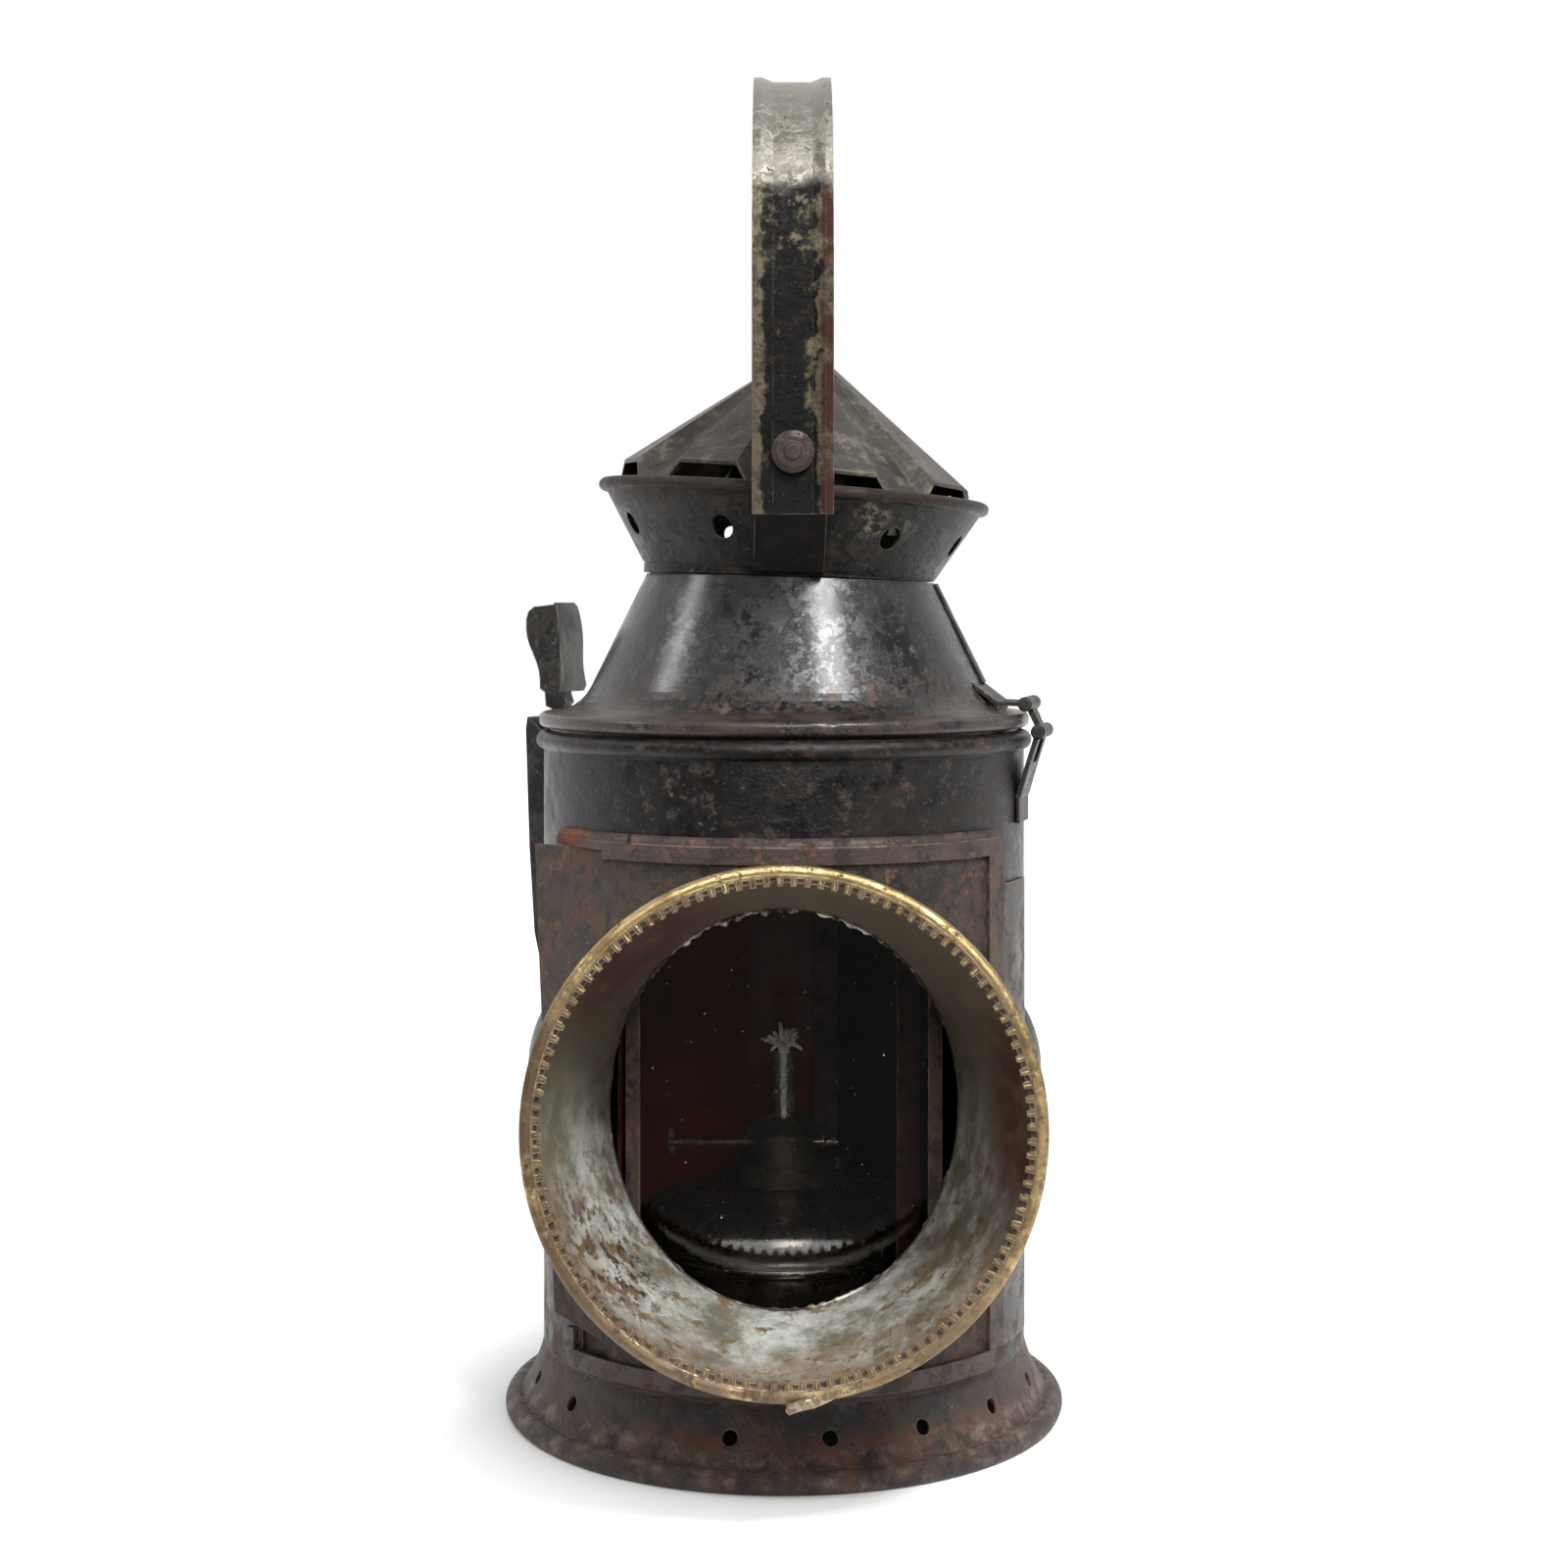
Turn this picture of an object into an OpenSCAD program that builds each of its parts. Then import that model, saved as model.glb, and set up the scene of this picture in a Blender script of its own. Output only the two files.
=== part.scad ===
// Railway hand signal lantern with a hinged lid, a turning crown and an inner colour drum.
// Front of the lamp is -Y, its right is +X. The origin is the centre of the foot, on the floor.
// An azimuth is counted from the front, positive towards the right.

/* [Body] */
// Outer radius of the cylindrical body
body_r = 57.3; // [54:0.1:60]
// Thickness of the body sheet
body_wall = 1.0; // [0.6:0.1:1.4]
// Height where the wall meets the foot
body_bottom_z = 17; // [15:0.5:19]
// Height of the middle of the swaged bead at the mouth
bead_z = 158.8; // [156:0.2:160]
// Radius of the swaged bead's round
bead_round = 2.2; // [1.5:0.1:2.4]

/* [Foot] */
// Outer radius of the rolled rim the lamp stands on
foot_r = 66.3; // [63:0.1:69]
// Radius of the rolled rim's round
foot_round = 2.6; // [2:0.1:3]
// Number of draught holes round the foot
foot_holes = 17; // [12:1:20]
// Radius of each draught hole
foot_hole_r = 1.7; // [1.5:0.1:3]

/* [Hood] */
// Height of the hood's axis where it leaves the plate
hood_z = 80; // [78:0.5:82]
// Angle by which the hood looks upwards
hood_tilt = 5.9; // [0:0.1:6]
// Distance from the lamp's axis to the hood's mouth
hood_mouth_y = 90; // [84:0.5:94]
// Inner radius of the hood at its mouth
hood_mouth_r = 52.4; // [50:0.1:54]
// Growth of the hood's radius for each millimetre outwards
hood_slope = 0.29; // [0.28:0.01:0.32]
// Number of crimped teeth round the brass rim
rim_teeth = 112; // [60:2:120]

/* [Front plate] */
// Lower and upper edges of the front plate
plate_low_z = 20.5; // [19:0.5:24]
plate_high_z = 136; // [132:0.5:137]
// Azimuth where the plate leaves the wall as a flat tab
crease_az = -42; // [-44:1:-40]
// Length of the flat tab along its top edge
tab_top = 24; // [18:0.5:26]
// Length of the flat tab along its bottom edge
tab_bottom = 17.5; // [14:0.5:20]

/* [Lid and top] */
// Height of the lid flange's top face
flange_z = 165.2; // [164.5:0.1:166]
// Radius of the lid flange
flange_r = 58.4; // [57.5:0.1:58.6]
// Height of the seam between lid and crown
neck_z = 197; // [195:0.5:199]
// Outer radius at that seam
neck_r = 34.4; // [33:0.1:36]
// Lean of the axis that the crown turns on, in degrees
top_lean = 2; // [0:0.5:2]
// Sideways set of the lid's cone, which has been knocked over a little
top_shift = 1; // [0:0.1:1.2]
// Further lean of the dented crown, in degrees
crown_lean = 2; // [0:0.5:2]
// Further lean of the fluted cap, in degrees
cap_lean = 3; // [0:0.5:3]
// Radius of the crown at its rolled rim
crown_r = 45.6; // [44:0.1:46]
// Height of the crown's rolled rim
crown_z = 216.4; // [215:0.1:218]
// Radius of the cap over its flutes
cap_r = 41.4; // [40:0.1:42]
// Height of the cap's apex
cap_apex_z = 252.6; // [248:0.1:256]
// Number of flutes pressed into the cap
cap_flutes = 8; // [6:1:10]

/* [Bail handle] */
// Width of the handle strap
bail_w = 18; // [16:0.5:20]
// Highest point of the handle
bail_top_z = 316; // [308:0.5:322]
// Distance from the lamp's axis to the strap's raised edges
bail_y = 52; // [51.5:0.1:53]
// Height of the rivets that the handle swings on
pivot_z = 224.2; // [223:0.1:226]
// Height of the legs' square lower ends
bail_foot_z = 210.5; // [209:0.5:214]

/* [Hinge and catch] */
// Azimuth of the lid's hinge
hinge_az = 76; // [70:1:84]
// Azimuth of the thumb catch, across the lamp from the hinge
catch_az = -112; // [-114:1:-108]

/* [Burner] */
// Radius of the oil font
font_r = 35.5; // [32:0.5:36]
// Height of the font's rolled shoulder
font_z = 40; // [36:0.5:42]
// Height of the wick raiser's spindle
spindle_z = 63; // [62:0.5:64]
// Height of the wick tube's top
tube_top_z = 83.5; // [80:0.5:86]

/* [Colour drum] */
// Radius to the outside of the drum
drum_r = 41.2; // [40:0.1:41.5]
// Azimuth of the first post at rest
post_az = 44; // [40:1:50]
// Clear angle of one glass pane
pane_arc = 104; // [90:1:108]

/* [Hidden] */
$fn = 72;
eps = 0.01;
gap = 0.35;
sheet = 0.9;
plate_r = body_r + 0.25;
plate_out = plate_r + sheet;
post_step = 120;
window_z0 = 32;
window_h = 99;
// radius and height of the pins, each seen at its own azimuth
pin_up = [59.2, 167.6];
pin_low = [62.2, 161.2];
catch_pin = [60.0, 116];
pin_r = 0.8;
eye_r = 1.7;
bail_x = top_shift + (pivot_z - neck_z) * sin(top_lean);
bail_pivot_z = neck_z + (pivot_z - neck_z) * cos(top_lean);
bail_arch_z = bail_top_z - bail_y;
lip_z = neck_z + 5.4;
fork_r = 23;
fork_low_z = 149;
drum_z0 = body_bottom_z + sheet + gap;
drum_z1 = 145;
font_floor_z = body_bottom_z + sheet + 0.8;
crown_holes = concat([for (k = [0 : 3]) -23 - 45 * k], [for (k = [0 : 3]) 34 + 41 * k]);

// Placing helpers
module az(a) {
  rotate([0, 0, a]) children();
}

module leaned() {
  translate([top_shift, 0, neck_z]) rotate([0, top_lean, 0]) translate([0, 0, -neck_z]) children();
}

module tilted(angle, at_z) {
  translate([0, 0, at_z]) rotate([0, angle, 0]) translate([0, 0, -at_z]) children();
}

module ring(r_out, r_in, z0, z1) {
  translate([0, 0, z0]) difference() {
    cylinder(r = r_out, h = z1 - z0);
    translate([0, 0, -1]) cylinder(r = r_in, h = z1 - z0 + 2);
  }
}

// A curved strip of a ring, between two azimuths counted from the front
module arc_strip(r_out, r_in, z0, z1, a0, a1) {
  translate([0, 0, z0]) rotate([0, 0, a0 - 90])
    rotate_extrude(angle = a1 - a0) translate([r_in, 0]) square([r_out - r_in, z1 - z0]);
}

// A plain disc or pin whose axis runs towards the front
module cross_pin(r, y0, y1, x, z) {
  translate([x, y0, z]) rotate([-90, 0, 0]) cylinder(r = r, h = y1 - y0);
}

// Foot
function skirt_r(z) =
  body_r + (foot_r - foot_round - body_r) * pow(1 - (z - foot_round) / (body_bottom_z - foot_round), 1.5);

module base_skirt() {
  steps = 7;
  span = body_bottom_z - foot_round;
  outer = [for (k = [0 : steps]) let (z = foot_round + span * k / steps) [skirt_r(z), z]];
  inner = [for (k = [steps : -1 : 0]) let (z = foot_round + span * k / steps) [skirt_r(z) - sheet, z]];
  hole_z = 10.2;
  color("#5b4c46") difference() {
    union() {
      rotate_extrude() polygon(concat(outer, inner));
      rotate_extrude() translate([body_r - body_wall - sheet, body_bottom_z - 3]) square([sheet, 8]);
      rotate_extrude() translate([body_r - body_wall - sheet, body_bottom_z - 3])
        square([body_wall + sheet, 3]);
      rotate_extrude() translate([foot_r - foot_round, foot_round - 0.35]) circle(r = foot_round);
    }
    translate([0, 0, -5]) cylinder(r = foot_r + 5, h = 5);
    // the place next to the front left is without a hole
    for (k = [0 : foot_holes - 1]) if (k != foot_holes - 2)
      az(360 * (k + 0.46) / foot_holes) translate([0, -skirt_r(hole_z), hole_z]) rotate([60, 0, 0])
        translate([0, 0, -6]) cylinder(r = foot_hole_r, h = 12, $fn = 24);
  }
}

module floor_plate() {
  vent_count = 12;
  floor_r = body_r - body_wall - sheet - 0.05;
  color("#4a403b") difference() {
    translate([0, 0, body_bottom_z]) cylinder(r = floor_r, h = sheet);
    for (k = [0 : vent_count - 1])
      az(360 * k / vent_count) translate([0, -48.5, body_bottom_z - 1]) cylinder(r = 3, h = 3, $fn = 24);
  }
}

module font_seat() {
  z0 = body_bottom_z + sheet;
  color("#50443d") {
    ring(font_r + 1.6, font_r + 0.6, z0, z0 + 5);
    ring(font_r + 0.7, font_r - 4, z0, z0 + 0.8);
  }
}

// Body
module body_shell() {
  color("#26221f") difference() {
    union() {
      ring(body_r, body_r - body_wall, body_bottom_z, bead_z + bead_round);
      rotate_extrude() translate([body_r - 0.4, bead_z]) difference() {
        circle(r = bead_round);
        translate([-body_wall + 0.4 - 5, -5]) square([5, 10]);
      }
      // lapped upright seam at the back
      az(180) arc_strip(body_r + 0.7, body_r - 0.2, body_bottom_z + 1, bead_z - bead_round, -3.5, 3.5);
    }
    // window behind the hood
    translate([-43, -body_r - 5, window_z0]) cube([86, 30, window_h]);
  }
}

module guide(z, a0, a1, half) {
  rotate([0, 0, a0 - 90]) rotate_extrude(angle = a1 - a0)
    translate([body_r - 0.15, z]) intersection() {
      circle(r = half);
      translate([0, -half]) square([half, half * 2]);
    }
}

module top_guide() {
  color("#4d403a") difference() {
    union() {
      guide(plate_high_z + 2, -61, 56, 1.9);
      arc_strip(plate_out + 0.9, body_r - 0.05, plate_high_z + 0.2, plate_high_z + 2, -61, 56);
      arc_strip(plate_out + 0.9, plate_out + 0.1, plate_high_z - 1.8, plate_high_z + 2, -61, 56);
    }
    translate([0, 0, plate_high_z - 10]) cylinder(r = body_r + eps, h = 20);
    arc_strip(plate_out + 3, body_r - 1, plate_high_z - 4, plate_high_z + 0.12, -63, crease_az - 1);
  }
}

module bottom_guide() {
  color("#4d403a") {
    arc_strip(plate_out + 0.9, body_r + eps, plate_low_z - 1.9, plate_low_z - 0.2, -55, 54);
    arc_strip(plate_out + 0.9, plate_out + 0.1, plate_low_z - 1.9, plate_low_z + 2.2, -55, 54);
  }
}

module right_guide() {
  z0 = plate_low_z + 2.3;
  z1 = plate_high_z - 1.9;
  color("#4d403a") {
    arc_strip(plate_out + 0.9, body_r + eps, z0, z1, 54.5, 57.5);
    arc_strip(plate_out + 0.9, plate_out + 0.1, z0, z1, 51.5, 57.5);
  }
}

// The left upright is flattened under the tab, so only a strip with its low lug is left
module left_guide() {
  color("#4d403a") {
    arc_strip(body_r + 0.8, body_r + eps, plate_low_z + 2.3, plate_high_z - 2, -55.5, -51.5);
    arc_strip(body_r + 2.6, body_r + eps, plate_low_z + 2.3, plate_low_z + 7, -55.5, -52.5);
  }
}

// The hood's own frame: its axis is at height 0 and passes the plate's surface where it is fixed
module hood_frame() {
  translate([0, -plate_out, hood_z]) rotate([-hood_tilt, 0, 0]) translate([0, plate_out, 0]) children();
}

module hood_cone(grow, y0, y1) {
  r0 = hood_mouth_r - (hood_mouth_y - y0) * hood_slope + grow;
  r1 = hood_mouth_r - (hood_mouth_y - y1) * hood_slope + grow;
  hood_frame() translate([0, -y0, 0]) rotate([90, 0, 0]) cylinder(r1 = r0, r2 = r1, h = y1 - y0, $fn = 96);
}

module front_plate() {
  color("#4b3a32") difference() {
    union() {
      arc_strip(plate_out, plate_r, plate_low_z, plate_high_z, crease_az, 53.5);
      // flat tab along the tangent, cut slanting at its free edge
      az(crease_az) translate([0, -plate_r, 0]) rotate([90, 0, 0])
        linear_extrude(sheet) polygon([[0, plate_low_z + 5.5], [0, plate_high_z],
          [-tab_top, plate_high_z], [-tab_top + 1.4, 108], [-tab_bottom, 30]]);
    }
    hood_cone(0, 20, 80);
  }
}

module hood() {
  color("#8f9592") difference() {
    hood_cone(0.8, 20, hood_mouth_y);
    hood_cone(0, 19, hood_mouth_y + 1);
    translate([0, 0, hood_z - 60]) cylinder(r = plate_out + eps, h = 120);
    translate([-60, -plate_out * 0.6, hood_z - 60]) cube([120, 80, 120]);
  }
}

// Brass strip rolled over the hood's mouth, with its inner leg crimped into upright teeth
module brass_rim() {
  r = hood_mouth_r + 0.3;
  tip_r = 49.6;
  root_r = 51.4;
  tooth = [for (k = [0 : rim_teeth - 1], s = [[0, root_r], [0.08, tip_r], [0.5, tip_r], [0.58, root_r]])
    let (a = 360 * (k + s[0]) / rim_teeth) [s[1] * cos(a), s[1] * sin(a)]];
  color("#c9a75f") hood_frame() translate([0, -hood_mouth_y, 0]) rotate([90, 0, 0]) {
    rotate_extrude($fn = 96) difference() {
      translate([r, 0.2]) circle(r = 1.4, $fn = 32);
      polygon([[hood_mouth_r - 0.04, 0], [hood_mouth_r + 0.84, 0], [hood_mouth_r + 0.84 - 3 * hood_slope, -3],
        [hood_mouth_r - 0.04 - 3 * hood_slope, -3]]);
    }
    translate([0, 0, 0.1]) linear_extrude(0.9) difference() {
      circle(r = r - 0.4, $fn = 96);
      polygon(tooth);
    }
    ring(52.1, 50.3, -0.35, 0.25);
  }
}

module glass_channels() {
  glass_y = -43.9;
  color("#5a4a40") intersection() {
    for (side = [-1, 1]) translate([side * 33.5, glass_y, window_z0 + 0.2]) difference() {
      translate([-1.6, -4.2, 0]) cube([3.2, 6.4, window_h - 0.4]);
      translate([side > 0 ? -3 : -0.8, -1.25, -1]) cube([3.8, 2.5, window_h + 2]);
    }
    cylinder(r = plate_r - eps, h = 200, $fn = 360);
  }
}

module front_glass() {
  color("#cfd8d6", 0.3) translate([-33.5, -44.9, window_z0 + 0.5]) cube([67, 2, window_h - 1]);
}

// Shallow domes on both flanks, level with the hood
module side_bosses() {
  dome_r = 17;
  rise = 6;
  sphere_r = (dome_r * dome_r + rise * rise) / (2 * rise);
  color("#2c2826") for (a = [-97, 94]) az(a) difference() {
    intersection() {
      translate([0, -body_r + 1.4 - rise + sphere_r, hood_z]) sphere(r = sphere_r, $fn = 96);
      translate([0, -body_r + 10, hood_z]) rotate([90, 0, 0]) cylinder(r = dome_r, h = 30);
    }
    translate([0, 0, hood_z - 30]) cylinder(r = body_r + eps, h = 60);
  }
}

module wall_patch() {
  color("#6a625f") difference() {
    arc_strip(body_r + 0.8, body_r + eps, 22, 127, 59.5, 76);
    az(59.5) translate([0, -body_r, 127]) rotate([0, 12, 0]) cube([3, 6, 60], center = true);
  }
}

// Thumb catch
module catch_sleeve() {
  w = 7;
  profile = [[body_r - 0.6, 99], [59.6, 99.4], [61.8, 102], [63.6, 110], [65.0, 131], [66.0, 160],
    [65.6, 163], [60.5, 158.5], [body_r - 0.6, 154.5]];
  hollow = [[body_r - 2, 101.5], [59.6, 101.8], [61.0, 103.4], [62.7, 110.3], [64.1, 131.2], [65.1, 160],
    [65.1, 170], [body_r - 2, 170]];
  color("#2b2825") difference() {
    az(catch_az) rotate([90, 0, -90]) linear_extrude(w * 2, center = true) polygon(profile);
    az(catch_az) rotate([90, 0, -90]) linear_extrude(w * 2 - sheet * 2, center = true) polygon(hollow);
    translate([0, 0, 90]) cylinder(r = body_r + eps, h = 80);
    az(catch_az) cross_bar(catch_pin, 1.0, 20);
  }
}

// A round bar along the tangent, at a radius and height
module cross_bar(at, r, half) {
  translate([-half, -at[0], at[1]]) rotate([0, 90, 0]) cylinder(r = r, h = half * 2, $fn = 32);
}

module catch_pivot_pin() {
  color("#3a3532") az(catch_az) {
    cross_bar(catch_pin, 1.0, 7.6);
    for (s = [-1, 1]) translate([s * 7.6, 0, 0]) cross_bar(catch_pin, 1.7, 0.6);
  }
}

// Leaf spring riveted to the wall, with its free end under the lever's tail
module catch_spring() {
  color("#3f3a36") difference() {
    az(catch_az) rotate([90, 0, -90]) linear_extrude(6, center = true)
      polygon([[body_r - 0.4, 103], [body_r + 0.5, 103], [body_r + 0.5, 107], [59.2, 112.2],
        [58.8, 112.6], [body_r - 0.4, 109]]);
    translate([0, 0, 100]) cylinder(r = body_r, h = 40, $fn = 360);
  }
}

// Outline of one leaf of the thumb piece: a long edge at 0 and an edge in a slight S
module leaf(w_low, w_top, h) {
  steps = 8;
  s_edge = [for (k = [0 : steps]) let (t = k / steps)
    [w_low + (w_top - w_low) * t - 0.7 * sin(360 * t), 1.4 + (h - 4.4) * t]];
  linear_extrude(sheet) polygon(concat([[0, 0], [w_low - 1.6, 0]], s_edge,
    [[w_top - 0.8, h - 1.1], [w_top - 2.6, h], [0, h]]));
}

// One strip, folded above the sleeve into a leaf along the lid's edge and a leaf for the thumb
module catch_lever() {
  fold_x = -1.2;
  strip_w = 4;
  face_r = 59.5;
  base_z = 169;
  color("#34312e") az(catch_az) difference() {
      union() {
        translate([fold_x - strip_w, 0, 0]) rotate([90, 0, 90]) linear_extrude(strip_w)
          polygon([[-face_r - sheet, 111.4], [-face_r, 111.4], [-face_r, 165.6], [-flange_r - gap, 166.4],
            [-face_r, 168.4], [-face_r, base_z + 0.6], [-face_r - sheet, base_z + 0.6]]);
        translate([fold_x - sheet, 0, 0]) rotate([90, 0, 90]) linear_extrude(sheet)
          polygon([[-face_r, 163.6], [-face_r, base_z + 0.6], [-face_r - 5.6, base_z + 0.6],
            [-face_r - 5.2, 165.4], [-face_r - sheet, 163.6]]);
        translate([0, -catch_pin[0], catch_pin[1]]) rotate([0, 90, 0]) translate([0, 0, -6])
          cylinder(r = 1.6, h = 9, $fn = 32);
        translate([0, -face_r, base_z]) rotate([5.4, 0, 0]) {
          translate([fold_x - sheet, 0, 0]) rotate([90, 0, -90]) translate([0, 0, -sheet])
            leaf(6.8, 9, 22);
          translate([fold_x, 0, 0]) mirror([1, 0, 0]) rotate([90, 0, 0]) leaf(12.6, 12.2, 22.4);
        }
      }
      cross_bar(catch_pin, 1.06, 20);
    }
}

// Lid hinge, drawn at the front and turned to its azimuth
module knuckle(at, x0, x1, r) {
  translate([x0, -at[0], at[1]]) rotate([0, 90, 0]) cylinder(r = r, h = x1 - x0, $fn = 32);
}

module bar_between(a, b, x0, x1, t) {
  d = [b[0] - a[0], b[1] - a[1]];
  n = [-d[1], d[0]] / norm(d) * t / 2;
  rotate([90, 0, -90]) translate([0, 0, -x1]) linear_extrude(x1 - x0)
    polygon([a + n, b + n, b - n, a - n]);
}

module hinge_body_strap() {
  foot = [body_r + 0.3, 146];
  knee = [body_r + 2.6, 154];
  color("#3c3833") az(hinge_az) difference() {
    union() {
      for (x = [[-7, -3.2], [3.2, 7]]) {
        knuckle(pin_low, x[0], x[1], eye_r);
        bar_between(knee, pin_low, x[0], x[1], 1.1);
      }
      bar_between(foot, knee, -7, 7, 1.1);
      bar_between([body_r + 0.3, 140], foot, -7, 7, 0.7);
    }
    knuckle(pin_low, -9, 9, pin_r);
    translate([0, 0, 130]) cylinder(r = body_r + eps, h = 40);
    rotate_extrude() translate([body_r - 0.4, bead_z]) circle(r = bead_round + 0.1);
  }
}

module hinge_lower_pin() {
  color("#57534d") az(hinge_az) {
    knuckle(pin_low, -7.4, 7.4, pin_r);
    for (x = [-7.9, 7.1]) knuckle(pin_low, x, x + 0.8, 1.3);
  }
}

module hinge_link() {
  color("#67645e") az(hinge_az) difference() {
    union() {
      knuckle(pin_low, -2.9, 2.9, eye_r);
      knuckle(pin_up, -2.9, 2.9, eye_r);
      bar_between(pin_low, pin_up, -2.9, 2.9, 1.4);
    }
    knuckle(pin_low, -9, 9, pin_r + 0.06);
    knuckle(pin_up, -9, 9, pin_r + 0.06);
  }
}

module hinge_lid_strap() {
  tail = [52.5, flange_z + 2.6];
  color("#3c3833") difference() {
    az(hinge_az) union() {
      for (x = [[-7, -3.2], [3.2, 7]]) {
        knuckle(pin_up, x[0], x[1], eye_r);
        bar_between(tail, pin_up, x[0], x[1], 1.0);
      }
      bar_between([46.6, 172.2], tail, -7, 7, 1.0);
      bar_between([tail[0], flange_z + 0.3], tail, -7, 7, 1.0);
    }
    az(hinge_az) knuckle(pin_up, -9, 9, pin_r);
    lid_solid(0.01, neck_z);
    lid_edge(1.27);
  }
}

module hinge_upper_pin() {
  color("#57534d") az(hinge_az) {
    knuckle(pin_up, -7.4, 7.4, pin_r);
    for (x = [-7.9, 7.1]) knuckle(pin_up, x, x + 0.8, 1.3);
  }
}

// Lid
function lid_curve(grow) = [for (k = [0 : 6]) let (a = 62 * k / 6)
  [56.9 + grow * sin(a) - 11 * sin(a), flange_z + 11 + grow * cos(a) - 11 * cos(a)]];

module lid_solid(grow, top_z) {
  translate([top_shift, 0, 0]) rotate_extrude()
    polygon(concat([[0, flange_z + grow]], lid_curve(grow),
      [[neck_r + grow - (top_z - neck_z) * 0.49, top_z], [0, top_z]]));
}

// rolled edge of the flange, flattened to an oval
module lid_edge(r) {
  rotate_extrude() {
    for (z = [flange_z - 2.1, flange_z - 1.2]) translate([flange_r - 1.25, z]) circle(r = r, $fn = 32);
    translate([flange_r - 1.25 - r, flange_z - 2.1]) square([r * 2, 0.9]);
  }
}

module lid_cone() {
  color("#211f1e") {
    difference() {
      union() {
        lid_solid(0, neck_z + 1.5);
        ring(flange_r - 1.4, 54.6, flange_z - sheet, flange_z + eps);
        lid_edge(1.25);
      }
      lid_solid(-sheet, neck_z + 1.6);
      leaned() translate([0, 0, neck_z]) cylinder(r = 60, h = 10);
    }
    // spigot that the crown turns on, with its turned-out lip
    leaned() {
      ring(neck_r - 1.2, neck_r - 2.2, neck_z - 3, lip_z);
      ring(neck_r - 0.2, neck_r - 2.2, lip_z - 1, lip_z);
      ring(neck_r - 0.6, neck_r - 2.2, neck_z - 1.6, neck_z - 0.1);
    }
  }
}

module lid_collar() {
  collar_r = body_r - body_wall - 0.45;
  color("#2b2826") {
    ring(collar_r, collar_r - 0.8, flange_z - 6.2, flange_z - 0.9);
    ring(collar_r, 54.0, flange_z - 1.8, flange_z - 0.9);
  }
}

// Crown
module crown() {
  seam = neck_z + gap;
  color("#2a2725") leaned() {
    ring(neck_r + 0.2, neck_r - 0.85, seam, seam + 2.4);
    tilted(crown_lean, neck_z) difference() {
      union() {
        rotate_extrude() polygon([[neck_r - 0.5, seam + 1.8], [neck_r + 0.55, seam + 1.4],
          [crown_r, crown_z], [crown_r - 1.1, crown_z]]);
        rotate_extrude() translate([crown_r - 0.4, crown_z]) circle(r = 1.5, $fn = 32);
      }
      for (a = crown_holes) az(a) translate([0, -40, neck_z + 10.2]) rotate([90, 0, 0])
        cylinder(r = 2.5, h = 14, center = true, $fn = 24);
    }
  }
}

// The cap is one sheet pressed into flutes that run from the rim to a small flat at the apex
function cap_rim(grow) = [for (k = [0 : cap_flutes - 1], s = [[-15.5, 0], [-10.5, 1], [10.5, 1], [15.5, 0]])
  let (a = 360 * (k + 0.33) / cap_flutes + s[0] - 90, up = s[1] * 5.2,
    r = s[1] > 0 ? cap_r : cap_r + 0.8)
  [r * cos(a), r * sin(a), 216.6 + up + grow]];

function cap_neck(grow) = [for (k = [0 : cap_flutes - 1], s = [-15.5, -10.5, 10.5, 15.5])
  let (a = 360 * (k + 0.33) / cap_flutes + s - 90) [2.2 * cos(a), 2.2 * sin(a), cap_apex_z - 1.2 + grow]];

module fluted_cap() {
  n = cap_flutes * 4;
  t = 1.0;
  pts = concat(cap_rim(0), cap_neck(0), cap_rim(-t), cap_neck(-t), [[0, 0, cap_apex_z], [0, 0, cap_apex_z - t]]);
  faces = concat(
    [for (i = [0 : n - 1]) let (j = (i + 1) % n) [i, n + i, n + j]],
    [for (i = [0 : n - 1]) let (j = (i + 1) % n) [i, n + j, j]],
    [for (i = [0 : n - 1]) let (j = (i + 1) % n) [2 * n + i, 3 * n + j, 3 * n + i]],
    [for (i = [0 : n - 1]) let (j = (i + 1) % n) [2 * n + i, 2 * n + j, 3 * n + j]],
    [for (i = [0 : n - 1]) let (j = (i + 1) % n) [n + i, 4 * n, n + j]],
    [for (i = [0 : n - 1]) let (j = (i + 1) % n) [3 * n + i, 3 * n + j, 4 * n + 1]],
    [for (i = [0 : n - 1]) let (j = (i + 1) % n) [i, j, 2 * n + j]],
    [for (i = [0 : n - 1]) let (j = (i + 1) % n) [i, 2 * n + j, 2 * n + i]]);
  color("#4a4541") leaned() tilted(cap_lean, neck_z) polyhedron(pts, faces);
}

// Four strips that hold the cap off the crown, from its inner wall up to the cap's valleys
module cap_struts() {
  slope = (crown_r - neck_r - 0.6) / (crown_z - neck_z - 2.1);
  foot_z = 208;
  foot_at = neck_r - 0.75 + (foot_z - neck_z - gap - 1.8) * slope;
  bend_z = foot_z + 5.4;
  bend_at = foot_at + 5.4 * slope;
  color("#3b3633") leaned() tilted(crown_lean, neck_z) for (k = [0 : 3])
    let (a = 360 * (k * 2 + 0.83) / cap_flutes,
      top = 215.2 - (bend_at - 0.5) * sin(a) * sin(cap_lean - crown_lean))
      az(a) rotate([90, 0, -90]) linear_extrude(5, center = true)
        polygon([[foot_at, foot_z], [bend_at, bend_z], [bend_at, top], [bend_at - 1, top],
          [bend_at - 1, bend_z + 0.3], [foot_at - 1, foot_z + 0.3]]);
}

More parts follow.
